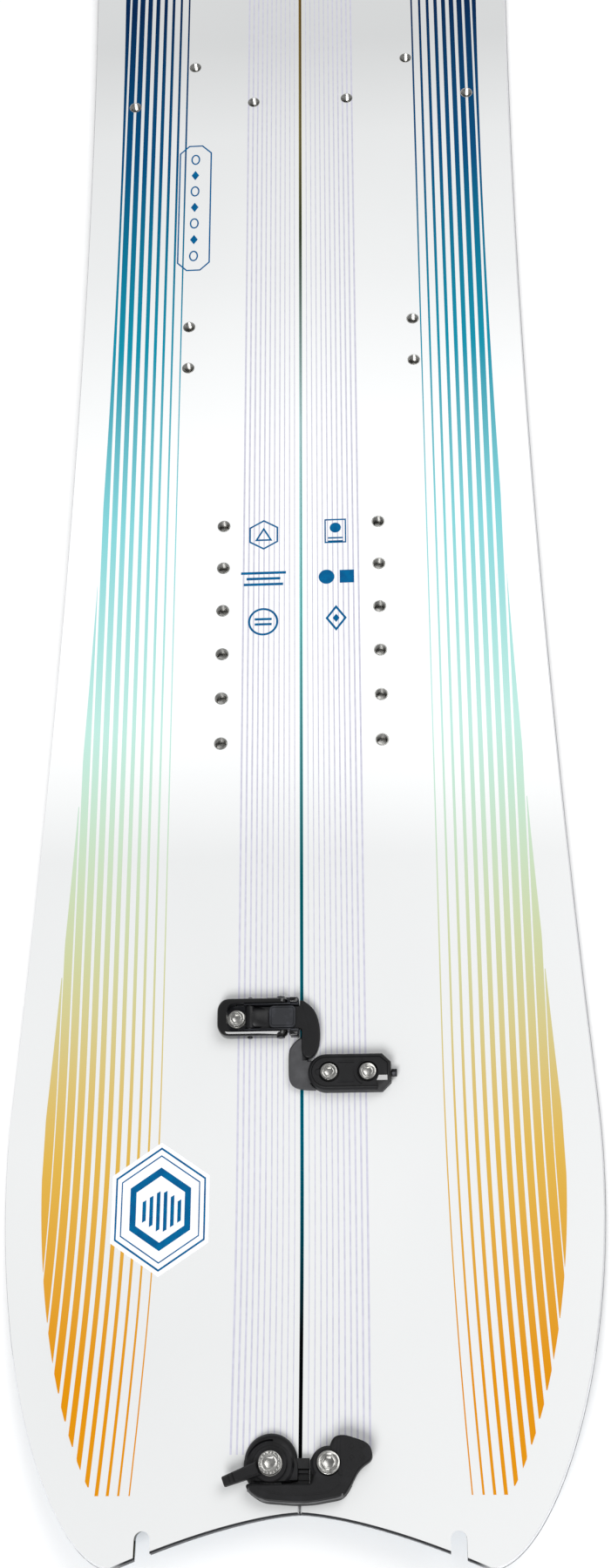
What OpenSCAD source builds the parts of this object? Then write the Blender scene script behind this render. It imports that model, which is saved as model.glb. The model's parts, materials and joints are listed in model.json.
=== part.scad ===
// Splitboard: a snowboard sawn lengthwise into two halves that clip together.
// The origin is on the seam at mid length, on the running surface.
// +Y points to the nose, +X to the right, +Z up. Lengths are in millimetres.

/* [Outline] */
// Length from the nose tip to the two tail tips
board_length = 1560; // [1500:10:1600]
// Width at the narrowest place
waist_width = 247; // [235:1:260]
// Radius of the sidecut arc
sidecut_radius = 8000; // [7500:100:9500]
// Where the waist lies, behind mid length
waist_y = -50; // [-60:5:-30]
// Half width between the two tail tips
tail_tip_x = 81; // [78:1:86]
// How far the tail is scooped out between its tips
tail_scoop = 22; // [16:1:24]
// Distance of each skin notch from the seam
notch_x = 68; // [64:0.5:70]
// Width of a skin notch
notch_w = 7; // [6:0.5:8]
// Gap between the halves at the seam
seam_gap = 0.3; // [0.2:0.1:0.5]

/* [Side profile] */
// Where the flat running length ends at the tail
tail_contact_y = -600; // [-610:5:-590]
// Slope of the straight tail ramp, in degrees
tail_angle = 10; // [8:1:12]
// Radius between the running length and the tail ramp
tail_radius = 500; // [450:10:550]
// Where the flat running length ends at the nose
nose_contact_y = 530; // [520:5:540]
// Slope of the straight nose ramp, in degrees
nose_angle = 16; // [13:1:18]
// Radius between the running length and the nose ramp
nose_radius = 450; // [400:10:500]

/* [Layers] */
// Thickness of the running base
base_t = 1.3; // [1.2:0.1:1.6]
// Thickness of the bottom laminate
bottom_laminate_t = 0.7; // [0.5:0.1:0.9]
// Thickness of the core
core_t = 4.4; // [4.2:0.1:5.5]
// Thickness of the top laminate
top_laminate_t = 0.6; // [0.5:0.1:0.9]
// Thickness of the topsheet
topsheet_t = 0.6; // [0.5:0.1:0.8]
// Width of the steel edge
edge_w = 2; // [1.8:0.1:2.4]
// Width of the outer sidewall
sidewall_w = 8; // [6:0.5:9]
// Width of the sidewall along the seam
seam_sidewall_w = 5; // [4:0.5:5]
// How far the sidewall leans in from the steel edge to the topsheet
sidewall_bevel = 1.4; // [1:0.1:1.8]

/* [Inserts] */
// Spacing of the binding inserts
insert_pitch = 25.4; // [25.4]
// Distance of each binding column from the seam
foot_column_x = 41.5; // [40:0.5:43]
// Rows of binding inserts under each foot
foot_rows = 6; // [4:2:6]
// Centre of the rear foot's rows
rear_foot_y = -324.5; // [-330:0.5:-320]
// Centre of the front foot's rows
front_foot_y = 235.5; // [225:0.5:245]
// Distance of the heel riser inserts from the seam
riser_x = 63; // [60:1:66]
// Middle of the two heel riser inserts
riser_y = -145.8; // [-150:0.1:-140]
// Spacing of the two heel riser inserts
riser_pitch = 27.3; // [25.4:0.1:30]
// Line of the two wide touring bracket inserts
touring_y = 25.4; // [20:0.1:30]
// Spacing of those two inserts
touring_pitch = 70.8; // [68:0.1:72]
// How far the single front touring insert lies ahead of them
touring_lead = 28.2; // [26:0.1:30]

/* [Clips] */
// Centre line of the rear clip's lever unit
rear_clip_y = -534; // [-540:1:-525]
// Centre line of the front clip's lever unit
front_clip_y = 470; // [450:1:480]
// Distance from the lever unit's centre line to the catch unit's
catch_offset = 27.5; // [27.5]
// Line of the tail clip's two screws
tail_clip_y = -738; // [-740:1:-732]
// Line of the nose clip's two screws
nose_clip_y = 740; // [730:1:745]
// Distance of each tip clip screw from the seam
tip_screw_x = 12.7; // [12.7]

/* [Hidden] */
$fn = 48;
total_t = base_t + bottom_laminate_t + core_t + top_laminate_t + topsheet_t;
core_z = base_t + bottom_laminate_t;
top_laminate_z = core_z + core_t;
topsheet_z = top_laminate_z + top_laminate_t;
seam_x = seam_gap / 2;
notch_end_y = -board_length / 2 + 16;
tail_spacer_y = -690;
nose_spacer_y = 700;
profile_steps = 8;
far = 400;

// Threaded insert
insert_bore_r = 3;
insert_barrel_r = 4.2;
insert_flange_r = 7;
insert_flange_t = 1;
insert_collar_r = 3.5;
insert_sink = 0.1;
insert_floor = 0.6;
screw_r = 2.98;
screw_clear_r = 3.1;

// Lever clip, in its own frame: X across the seam, Z up from the topsheet
pivot_z = 4.4;
bolt_x = -31.4;
hook_pin_x = -24.7;
hook_pin_r = 1.5;
rivet_x = -9.8;
rivet_r = 1.2;
clip_head_r = 3.9;
clip_floor_t = 1.5;
cheek_y = 5.9;
cheek_t = 0.7;
rail_in_y = 6.9;
rail_out_y = 9.4;
rail_r = 3.2;
shank_half_w = 5.6;
hook_top_z = 4.6;
hook_low_z = 1.2;
catch_top_z = 3.8;
catch_low_z = 1;
bevel_gap = 0.5;
catch_screw_x = [13.25, 31.7];
catch_half_w = 4.6;
catch_travel = 1.6;
catch_slot_r = 3.2;
casing_h = 7.4;
casing_r = 8.8;
casing_x = 12.1;
casing_end_x = 42.8;
pocket_z = 5;
adjuster_z = 2.25;
adjuster_r = 1.1;

// Tip clip, in its own frame: Y from the tip towards mid length, Z square to the ramp
dome_r = 11.9;
dome_h = 4.3;
lever_ring_z = 4.6;
tip_head_z = 6.1;
tip_head_h = 2.6;
tip_head_r = 5;
swing_clear_r = 0.05;
arm_base_r = 8.2;
arm_base_h = 3.1;
arm_disc_r = 7.4;

// ---- Outline ----

function unit(v) = v / norm(v);
function bezier(a, b, c, d, steps) = [
    for (i = [0:steps])
        let (t = i / steps, s = 1 - t)
            s * s * s * a + 3 * s * s * t * b + 3 * s * t * t * c + t * t * t * d
];
function sidecut_x(y) =
    waist_width / 2 + sidecut_radius - sqrt(pow(sidecut_radius, 2) - pow(y - waist_y, 2));
// Direction of the sidecut arc at y, per millimetre of Y
function sidecut_slope(y) = (y - waist_y) / sidecut_radius;
function scoop_y(x) = -board_length / 2 + tail_scoop * (1 - pow(x / tail_tip_x, 1.5));

nose_blend_y = 540;
tail_blend_y = -575;
nose_handle = 110;
tail_handle = 110;
nose_tip_handle = 100;
tail_tip_handle = 29;
nose_curve = bezier(
    [0, board_length / 2],
    [nose_tip_handle, board_length / 2],
    [sidecut_x(nose_blend_y) + nose_handle * sidecut_slope(nose_blend_y), nose_blend_y + nose_handle],
    [sidecut_x(nose_blend_y), nose_blend_y],
    18
);
tail_curve = bezier(
    [sidecut_x(tail_blend_y), tail_blend_y],
    [sidecut_x(tail_blend_y) - tail_handle * sidecut_slope(tail_blend_y), tail_blend_y - tail_handle],
    [tail_tip_x + tail_tip_handle, -board_length / 2],
    [tail_tip_x, -board_length / 2],
    16
);
sidecut_steps = 14;
sidecut_curve = [
    for (i = [1:sidecut_steps - 1])
        let (y = nose_blend_y + (tail_blend_y - nose_blend_y) * i / sidecut_steps)
            [sidecut_x(y), y]
];
scoop_curve = [for (i = [1:10]) let (x = tail_tip_x * (1 - i / 10)) [x, scoop_y(x)]];
// One half, carried past the seam so that an inset moves only its outer side
half_outline = concat(
    [[-50, board_length / 2]], nose_curve, sidecut_curve, tail_curve, scoop_curve,
    [[-50, scoop_y(0)]]
);

// Moves each side of a clockwise outline inwards by d, with mitred corners
function inset(points, d) = [
    for (i = [0:len(points) - 1])
        let (
            before = points[(i + len(points) - 1) % len(points)],
            after = points[(i + 1) % len(points)],
            e1 = unit(points[i] - before),
            e2 = unit(after - points[i]),
            n1 = [e1.y, -e1.x],
            n2 = [e2.y, -e2.x]
        )
            points[i] + d * (n1 + n2) / (1 + n1 * n2)
];

module notch() {
    translate([notch_x, notch_end_y - notch_w / 2]) circle(d = notch_w);
    translate([notch_x - notch_w / 2, notch_end_y - notch_w / 2 - 40]) square([notch_w, 40]);
}

// The half's plan, inset from the outer side by outer and starting at seam from the centre line
module plan(outer, seam, y0 = -far * 3, y1 = far * 3) difference() {
    intersection() {
        polygon(inset(half_outline, outer));
        translate([seam, y0]) square([far, y1 - y0]);
    }
    notch();
}

// ---- Side profile ----

tail_ramp_y = tail_contact_y - tail_radius * sin(tail_angle);
tail_ramp_z = tail_radius * (1 - cos(tail_angle));
nose_ramp_y = nose_contact_y + nose_radius * sin(nose_angle);
nose_ramp_z = nose_radius * (1 - cos(nose_angle));
function ramp_z(y) =
    y < 0 ? tail_ramp_z + (tail_ramp_y - y) * tan(tail_angle)
          : nose_ramp_z + (y - nose_ramp_y) * tan(nose_angle);
tail_arc = [
    for (i = [profile_steps:-1:0])
        let (a = tail_angle * i / profile_steps)
            [tail_contact_y - tail_radius * sin(a), tail_radius * (1 - cos(a))]
];
nose_arc = [
    for (i = [0:profile_steps])
        let (a = nose_angle * i / profile_steps)
            [nose_contact_y + nose_radius * sin(a), nose_radius * (1 - cos(a))]
];
running_line = concat([[-900, ramp_z(-900)]], tail_arc, nose_arc, [[900, ramp_z(900)]]);

// Everything between two heights above the running line
module between(z0, z1) {
    low = [for (p = running_line) [p.x, p.y + z0]];
    high = [for (i = [len(running_line) - 1:-1:0]) running_line[i] + [0, z1]];
    rotate([90, 0, 90]) linear_extrude(far) polygon(concat(low, high));
}

module layer(z0, z1, outer, seam, y0 = -far * 3, y1 = far * 3) intersection() {
    between(z0, z1);
    translate([0, 0, -10]) linear_extrude(150) plan(outer, seam, y0, y1);
}

// ---- Places ----

module on_tail()
    translate([0, tail_clip_y, ramp_z(tail_clip_y) + total_t]) rotate([-tail_angle, 0, 0]) children();
module on_nose()
    translate([0, nose_clip_y, ramp_z(nose_clip_y) + total_t]) rotate([0, 0, 180])
        rotate([-nose_angle, 0, 0]) children();
module at_rear() translate([0, rear_clip_y, total_t]) children();
module at_front() translate([0, front_clip_y, total_t]) rotate([0, 0, 180]) children();
module left() mirror([1, 0, 0]) children();

function row_y(centre, i) = centre + (i - (foot_rows - 1) / 2) * insert_pitch;
foot_inserts = [
    for (centre = [rear_foot_y, front_foot_y], i = [0:foot_rows - 1]) [foot_column_x, row_y(centre, i)]
];
riser_inserts = [for (s = [-1, 1]) [riser_x, riser_y + s * riser_pitch / 2]];
touring_inserts = [
    [riser_x - touring_pitch / 2, touring_y],
    [riser_x + touring_pitch / 2, touring_y],
    [riser_x, touring_y + touring_lead]
];
// The left half has the rear lever unit and the front catch unit, the right half the reverse
function lever_y(side) = side < 0 ? rear_clip_y : front_clip_y;
function catch_y(side) = side < 0 ? front_clip_y + catch_offset : rear_clip_y - catch_offset;
function clip_inserts(side) = [
    [-bolt_x, lever_y(side)], [catch_screw_x[0], catch_y(side)], [catch_screw_x[1], catch_y(side)]
];
function flat_inserts(side) = concat(foot_inserts, riser_inserts, touring_inserts, clip_inserts(side));

// Puts a round piece at every insert. Its heights run from the running surface, and
// k squeezes them where the ramp makes the layers thinner
module at_inserts(side) {
    for (p = flat_inserts(side)) translate([p.x, p.y, 0]) insert_shape($part, 1);
    translate([0, tail_clip_y, ramp_z(tail_clip_y) + total_t]) rotate([-tail_angle, 0, 0])
        translate([tip_screw_x, 0, -total_t * cos(tail_angle)]) insert_shape($part, cos(tail_angle));
    translate([0, nose_clip_y, ramp_z(nose_clip_y) + total_t]) rotate([nose_angle, 0, 0])
        translate([tip_screw_x, 0, -total_t * cos(nose_angle)]) insert_shape($part, cos(nose_angle));
}

module disc(r, z0, z1) translate([0, 0, z0]) cylinder(r = r, h = z1 - z0);

module insert_shape(part, k) {
    if (part == "insert") difference() {
        union() {
            disc(insert_flange_r, core_z * k, (core_z + insert_flange_t) * k);
            disc(insert_barrel_r, core_z * k, topsheet_z * k);
            disc(insert_collar_r, core_z * k, (total_t - insert_sink) * k);
        }
        disc(insert_bore_r, (core_z + insert_floor) * k, total_t + 5);
    }
    if (part == "core_hole") {
        disc(insert_flange_r, -5, (core_z + insert_flange_t) * k);
        disc(insert_barrel_r, -5, total_t + 5);
    }
    if (part == "laminate_hole") disc(insert_barrel_r, -5, total_t + 5);
    if (part == "topsheet_hole") disc(insert_collar_r, 0, total_t + 5);
}

// ---- Board layers, drawn as the right half ----

module topsheet(side) color("whitesmoke") difference() {
    layer(topsheet_z, total_t, sidewall_bevel, seam_x);
    at_inserts(side, $part = "topsheet_hole");
}

module top_laminate(side) color("palegoldenrod") difference() {
    layer(top_laminate_z, topsheet_z, sidewall_bevel - 0.3, seam_x);
    at_inserts(side, $part = "laminate_hole");
}

module core(side) color("burlywood") difference() {
    layer(core_z, top_laminate_z, sidewall_w, seam_x + seam_sidewall_w, tail_spacer_y, nose_spacer_y);
    at_inserts(side, $part = "core_hole");
}

// The sidewall leans in towards the topsheet in three steps
module outer_sidewall() color("dimgray") difference() {
    union() for (i = [0:2])
        layer(core_z + core_t * i / 3, core_z + core_t * (i + 1) / 3,
              0.3 + (sidewall_bevel - 0.6) * i / 2, 40, tail_spacer_y, nose_spacer_y);
    layer(0, total_t, sidewall_w, 0);
}

module seam_sidewall(side) color("dimgray") difference() {
    intersection() {
        layer(core_z, top_laminate_z, sidewall_w, seam_x, tail_spacer_y, nose_spacer_y);
        translate([0, -far * 2, -10]) cube([seam_x + seam_sidewall_w, far * 4, 150]);
    }
    at_inserts(side, $part = "core_hole");
}

module nose_spacer(side) color("#22252b") difference() {
    layer(core_z, top_laminate_z, 0.6, seam_x, nose_spacer_y, far * 3);
    at_inserts(side, $part = "core_hole");
}

module tail_spacer(side) color("#22252b") difference() {
    layer(core_z, top_laminate_z, 0.6, seam_x, -far * 3, tail_spacer_y);
    at_inserts(side, $part = "core_hole");
}

module bottom_laminate() color("palegoldenrod") layer(base_t, core_z, edge_w, seam_x + edge_w);

module base() color("midnightblue") layer(0, base_t, edge_w, seam_x + edge_w);

module steel_edge() color("silver") difference() {
    layer(0, core_z, 0, seam_x);
    layer(-1, core_z + 1, edge_w, seam_x + edge_w);
}

module inserts(side) color("silver") at_inserts(side, $part = "insert");

// ---- Lever clip ----

module across(x, r, length) translate([x, 0, pivot_z]) rotate([90, 0, 0])
    cylinder(r = r, h = length, center = true);

module hex_screw(x, y, r, z0, z1, bottom, socket_r) translate([x, y, 0]) difference() {
    union() {
        disc(screw_r, bottom, z0 + 0.5);
        disc(r, z0, z1);
    }
    translate([0, 0, z1 - 1.4]) cylinder(r = socket_r, h = 2, $fn = 6);
}

module clip_base() color("#2b2c30") difference() {
    union() {
        translate([-39.5, -cheek_y - cheek_t, 0]) cube([38.3, 2 * (cheek_y + cheek_t), clip_floor_t]);
        for (s = [0, 1]) mirror([0, s, 0]) {
            translate([-27.6, cheek_y, 0]) cube([22.6, cheek_t, 6.8]);
            translate([-5.2, cheek_y, 0]) cube([4, 3.1, 5.8]);
        }
        translate([-17, cheek_y, 0]) cube([13, 4.9, 0.9]);
    }
    translate([bolt_x, 0, -1]) cylinder(r = screw_clear_r, h = 5);
    across(hook_pin_x, hook_pin_r, 20);
    across(rivet_x, rivet_r, 20);
}

module clip_bolt() color("silver")
    hex_screw(bolt_x, 0, clip_head_r, clip_floor_t, 4.1, -topsheet_z + core_z + 1, 2);

module lever_plan() difference() {
    polygon([[-40.6, -5.4], [-37.6, -rail_out_y], [-5, -rail_out_y],
             [-5, rail_out_y], [-37.6, rail_out_y], [-40.6, 5.4]]);
    translate([-35.8, -rail_in_y]) square([40, 2 * rail_in_y]);
}

module lever() color("#0d0e10") difference() {
    union() {
        intersection() {
            linear_extrude(20) lever_plan();
            rotate([90, 0, 0]) linear_extrude(30, center = true) {
                translate([-45, pivot_z - rail_r]) square([45 + rivet_x, 2 * rail_r]);
                translate([rivet_x, pivot_z]) circle(r = rail_r);
            }
        }
        for (s = [-1, 1]) translate([hook_pin_x, s * (rail_out_y + 0.2), pivot_z - 0.8])
            rotate([90, 0, 0]) cylinder(r = 1.3, h = 1, center = true);
    }
    translate([-41, -rail_in_y, 0]) cube([6, 2 * rail_in_y, 3.9]);
    across(rivet_x, rivet_r + 0.05, 40);
}

module lever_rivets() color("silver") for (s = [0, 1]) mirror([0, s, 0])
    translate([rivet_x, 0, pivot_z]) rotate([-90, 0, 0]) {
        disc(rivet_r, cheek_y, rail_out_y + 0.3);
        disc(2, rail_out_y + 0.1, rail_out_y + 0.7);
    }

// Wedge that gives the two hooks matching 45 degree faces. Its face runs through
// x + z = k and it removes the side towards -X, or the side towards +X if flip is 1
module face_wedge(k, y0, y1, flip = 0) translate([0, y1, 0]) rotate([90, 0, 0])
    linear_extrude(y1 - y0) polygon(
        flip == 0 ? [[k + 2, -2], [k - 12, 12], [k - 24, 12], [k - 24, -2]]
                  : [[k + 2, -2], [k - 12, 12], [k + 24, 12], [k + 24, -2]]);

module draw_hook() color("#111214") difference() {
    union() {
        across(hook_pin_x, 2.4, 2 * shank_half_w);
        translate([hook_pin_x, -shank_half_w, 1.8])
            cube([0.4 - hook_pin_x, 2 * shank_half_w, hook_top_z - 1.8]);
        translate([0, 0, hook_low_z]) linear_extrude(hook_top_z - hook_low_z)
            polygon([[-0.6, 8.4], [0.9, 8.4], [4.3, 5.8], [7, 2.6], [8.6, -2.4], [9.2, -8.6],
                     [8.5, -14.8], [6.6, -18.6], [4.6, -20], [2.4, -19.9], [0.6, -18.4],
                     [0, -16], [0, -6.4], [-0.6, -5.6]]);
    }
    across(hook_pin_x, hook_pin_r + 0.05, 30);
    face_wedge(hook_top_z, -30, -6.6);
}

module hook_pad() color("#3a3b3f") intersection() {
    translate([0, 0, hook_top_z]) linear_extrude(2.4)
        polygon([[-15.3, -4.2], [-14.1, -5.4], [-3.8, -5.4], [-2.6, -4.2],
                 [-2.6, 4.2], [-3.8, 5.4], [-14.1, 5.4], [-15.3, 4.2]]);
    rotate([90, 0, 0]) linear_extrude(20, center = true)
        polygon([[-15.3, hook_top_z], [-2.6, hook_top_z], [-2.6, 6.2], [-3.6, 7],
                 [-14.3, 7], [-15.3, 6.2]]);
}

module hook_pin() color("silver") across(hook_pin_x, hook_pin_r, 2 * (cheek_y + cheek_t));

module casing_plan() {
    translate([casing_x, -catch_offset]) circle(r = casing_r);
    polygon([[casing_x, -catch_offset - casing_r], [38.6, -catch_offset - casing_r],
             [casing_end_x, -catch_offset - 4.6], [casing_end_x, -catch_offset + 4.6],
             [38.6, -catch_offset + casing_r], [casing_x, -catch_offset + casing_r]]);
}

module catch_casing() color("#1d1e22") difference() {
    linear_extrude(casing_h) casing_plan();
    translate([-1, -catch_offset - catch_half_w - 0.3, -1])
        cube([41.4, 2 * catch_half_w + 0.6, catch_top_z + 1.3]);
    for (x = catch_screw_x) translate([x, -catch_offset, 0]) {
        disc(screw_clear_r, -1, 10);
        disc(clip_head_r + 0.8, pocket_z, 10);
    }
    translate([39, -catch_offset, adjuster_z]) rotate([0, 90, 0]) cylinder(r = adjuster_r + 0.1, h = 5);
}

module catch_hook() color("#55575c") difference() {
    union() {
        translate([0, 0, catch_low_z]) linear_extrude(catch_top_z - catch_low_z) {
            difference() {
                polygon([[3.4, -9.8], [-0.9, -9.8], [-5.1, -13.9], [-6.2, -17.2], [-6.2, -29],
                         [-5.1, -32.4], [-2.8, -34.2], [1.4, -35.2], [7, -35.4], [7, -21.2],
                         [3.4, -21.2]]);
                translate([casing_x, -catch_offset]) circle(r = casing_r + 0.5);
            }
            translate([0, -catch_offset - catch_half_w]) square([40, 2 * catch_half_w]);
        }
        translate([36.8, -catch_offset - catch_half_w, 0.5]) cube([3.2, 2 * catch_half_w, 3.4]);
    }
    face_wedge(hook_top_z - bevel_gap, -21.2, -5, 1);
    for (x = catch_screw_x) translate([x, -catch_offset, 0]) {
        disc(catch_slot_r, 0, 6);
        translate([catch_travel + 0.1, 0, 0]) disc(catch_slot_r, 0, 6);
        translate([0, -catch_slot_r, 0]) cube([catch_travel + 0.1, 2 * catch_slot_r, 6]);
    }
    translate([33, -catch_offset, adjuster_z]) rotate([0, 90, 0]) cylinder(r = adjuster_r + 0.05, h = 9);
}

module catch_screws() color("silver") for (x = catch_screw_x)
    hex_screw(x, -catch_offset, clip_head_r, pocket_z, casing_h, -topsheet_z + core_z + 1, 2);

module adjuster_screw() color("#2b2c30") translate([0, -catch_offset, adjuster_z]) rotate([0, 90, 0]) {
    disc(adjuster_r, 35.4, 43.2);
    translate([0, 0, casing_end_x + 0.15]) cylinder(r = 2, h = 2.6, $fn = 6);
}

// ---- Tip clip ----

module cam_housing() color("#17181b") difference() {
    union() {
        intersection() {
            translate([-tip_screw_x, 0, 0]) rotate_extrude()
                polygon([[0, 0], [dome_r, 0], [dome_r, 1.4], [dome_r - 1, 3], [dome_r - 2.8, dome_h],
                         [0, dome_h]]);
            translate([-40, -6.9, -1]) cube([80, 40, 20]);
        }
        translate([-6, -1.4, 0]) cube([10.2, 4.4, 2.9]);
    }
    translate([-tip_screw_x, 0, 0]) disc(screw_clear_r, -1, 10);
    translate([-0.2, -10, -1]) cube([20, 20, 1.4]);
}

module tip_screw(x) hex_screw(x, 0, tip_head_r, tip_head_z, tip_head_z + tip_head_h, -4.2, 2.4);

lever_turn = 200.5;
lever_reach = 21.7;
tab_z = 4.7;
tab_h = 3.5;
module cam_lever() color("#141518") translate([-tip_screw_x, 0, 0]) difference() {
    union() {
        disc(arm_disc_r, lever_ring_z, tip_head_z - 0.1);
        rotate([0, 0, lever_turn]) translate([0, 0, tab_z]) linear_extrude(tab_h)
            polygon([[5.6, -4], [lever_reach, -2.6], [lever_reach, 2.6], [5.6, 4]]);
    }
    disc(screw_r + swing_clear_r, 0, 20);
}

module arm_base() color("#17181b") translate([tip_screw_x, 0, 0]) difference() {
    disc(arm_base_r, 0, arm_base_h);
    disc(screw_clear_r, -1, 10);
}

arm_keel = [[-20, -7.9], [-23.3, -8.6], [-22.4, -11.2], [-16, -15.5], [-2, -16.6], [6, -16.4],
            [19.4, -14], [23, -8]];
arm_pad = [[25.5, -3.2], [28.3, -0.6], [31.8, 1.6], [31.6, 5.7], [29.4, 9], [19, 12.3],
           [14.6, 11.2], [13, 7]];
module hook_arm() color("#141518") difference() {
    union() {
        translate([0, 0, arm_base_h + 0.2]) linear_extrude(7.2 - arm_base_h) {
            polygon(concat(arm_keel, arm_pad, [[tip_screw_x, 0], [6.4, -3.9], [5, -8.4], [-14, -8.4]]));
            translate([tip_screw_x, 0]) circle(r = arm_disc_r);
        }
        difference() {
            translate([0, 0, 0.9]) linear_extrude(arm_base_h) polygon(concat(arm_keel, [[-14, -8.4]]));
            translate([tip_screw_x, 0, 0]) disc(arm_base_r + 0.4, 0, arm_base_h + 0.2);
        }
    }
    translate([tip_screw_x, 0, 0]) {
        disc(screw_r + swing_clear_r, 0, 20);
        disc(tip_head_r + 0.4, tip_head_z - 0.1, 20);
    }
}

// ---- Named sub-parts ----

module left_topsheet() left() topsheet(-1);
module left_top_laminate() left() top_laminate(-1);
module left_core() left() core(-1);
module left_outer_sidewall() left() outer_sidewall();
module left_seam_sidewall() left() seam_sidewall(-1);
module left_nose_spacer() left() nose_spacer(-1);
module left_tail_spacer() left() tail_spacer(-1);
module left_bottom_laminate() left() bottom_laminate();
module left_base() left() base();
module left_steel_edge() left() steel_edge();
module left_inserts() left() inserts(-1);
module right_topsheet() topsheet(1);
module right_top_laminate() top_laminate(1);
module right_core() core(1);
module right_outer_sidewall() outer_sidewall();
module right_seam_sidewall() seam_sidewall(1);
module right_nose_spacer() nose_spacer(1);
module right_tail_spacer() tail_spacer(1);
module right_bottom_laminate() bottom_laminate();
module right_base() base();
module right_steel_edge() steel_edge();
module right_inserts() inserts(1);

module rear_clip_base() at_rear() clip_base();
module rear_clip_bolt() at_rear() clip_bolt();
module rear_lever() at_rear() lever();
module rear_lever_rivets() at_rear() lever_rivets();
module rear_draw_hook() at_rear() draw_hook();
module rear_hook_pad() at_rear() hook_pad();
module rear_hook_pin() at_rear() hook_pin();
module rear_catch_casing() at_rear() catch_casing();
module rear_catch_hook() at_rear() catch_hook();
module rear_catch_screws() at_rear() catch_screws();
module rear_adjuster_screw() at_rear() adjuster_screw();
module front_clip_base() at_front() clip_base();
module front_clip_bolt() at_front() clip_bolt();
module front_lever() at_front() lever();
module front_lever_rivets() at_front() lever_rivets();
module front_draw_hook() at_front() draw_hook();
module front_hook_pad() at_front() hook_pad();
module front_hook_pin() at_front() hook_pin();
module front_catch_casing() at_front() catch_casing();
module front_catch_hook() at_front() catch_hook();
module front_catch_screws() at_front() catch_screws();
module front_adjuster_screw() at_front() adjuster_screw();

module tail_cam_housing() on_tail() cam_housing();
module tail_cam_lever() on_tail() cam_lever();
module tail_cam_screw() on_tail() color("silver") tip_screw(-tip_screw_x);
module tail_arm_base() on_tail() arm_base();
module tail_hook_arm() on_tail() hook_arm();
module tail_arm_screw() on_tail() color("silver") tip_screw(tip_screw_x);
module nose_cam_housing() on_nose() cam_housing();
module nose_cam_lever() on_nose() cam_lever();
module nose_cam_screw() on_nose() color("silver") tip_screw(-tip_screw_x);
module nose_arm_base() on_nose() arm_base();
module nose_hook_arm() on_nose() hook_arm();
module nose_arm_screw() on_nose() color("silver") tip_screw(tip_screw_x);

left_topsheet();
left_top_laminate();
left_core();
left_outer_sidewall();
left_seam_sidewall();
left_nose_spacer();
left_tail_spacer();
left_bottom_laminate();
left_base();
left_steel_edge();
left_inserts();
right_topsheet();
right_top_laminate();
right_core();
right_outer_sidewall();
right_seam_sidewall();
right_nose_spacer();
right_tail_spacer();
right_bottom_laminate();
right_base();
right_steel_edge();
right_inserts();
rear_clip_base();
rear_clip_bolt();
rear_lever();
rear_lever_rivets();
rear_draw_hook();
rear_hook_pad();
rear_hook_pin();
rear_catch_casing();
rear_catch_hook();
rear_catch_screws();
rear_adjuster_screw();
front_clip_base();
front_clip_bolt();
front_lever();
front_lever_rivets();
front_draw_hook();
front_hook_pad();
front_hook_pin();
front_catch_casing();
front_catch_hook();
front_catch_screws();
front_adjuster_screw();
tail_cam_housing();
tail_cam_lever();
tail_cam_screw();
tail_arm_base();
tail_hook_arm();
tail_arm_screw();
nose_cam_housing();
nose_cam_lever();
nose_cam_screw();
nose_arm_base();
nose_hook_arm();
nose_arm_screw();
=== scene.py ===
"""A splitboard: two clipped halves on their running base, seen from above the tail.

Shapes are worked out in millimetres in the part's own frame (+X right, +Y nose, +Z up, origin
on the seam at mid length) and turned into metres when a mesh is made. Each half is drawn as the
right one and mirrored for the left.
"""

import json
import math

import bmesh
import bpy
from mathutils import Matrix, Vector

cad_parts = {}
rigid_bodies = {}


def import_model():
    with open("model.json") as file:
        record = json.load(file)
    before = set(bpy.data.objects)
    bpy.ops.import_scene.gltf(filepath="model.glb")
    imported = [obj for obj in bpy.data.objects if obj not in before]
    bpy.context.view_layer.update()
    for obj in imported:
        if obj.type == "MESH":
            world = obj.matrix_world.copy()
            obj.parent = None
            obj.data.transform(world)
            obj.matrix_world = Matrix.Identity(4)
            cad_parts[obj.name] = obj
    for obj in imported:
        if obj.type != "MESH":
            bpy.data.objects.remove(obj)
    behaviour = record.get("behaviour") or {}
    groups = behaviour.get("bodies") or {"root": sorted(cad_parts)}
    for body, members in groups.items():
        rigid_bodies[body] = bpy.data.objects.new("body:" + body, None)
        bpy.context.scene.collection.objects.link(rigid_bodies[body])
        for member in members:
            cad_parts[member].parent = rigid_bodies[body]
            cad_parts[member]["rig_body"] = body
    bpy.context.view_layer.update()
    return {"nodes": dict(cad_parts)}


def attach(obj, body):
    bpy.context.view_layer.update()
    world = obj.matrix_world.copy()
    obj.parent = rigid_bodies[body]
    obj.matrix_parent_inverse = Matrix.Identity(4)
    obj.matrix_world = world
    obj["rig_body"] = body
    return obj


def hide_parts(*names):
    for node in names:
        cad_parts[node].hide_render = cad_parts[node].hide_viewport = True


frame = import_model()
nodes = frame["nodes"]
MM = 0.001

# ---- Driving sizes of the board, in millimetres ----

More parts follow.
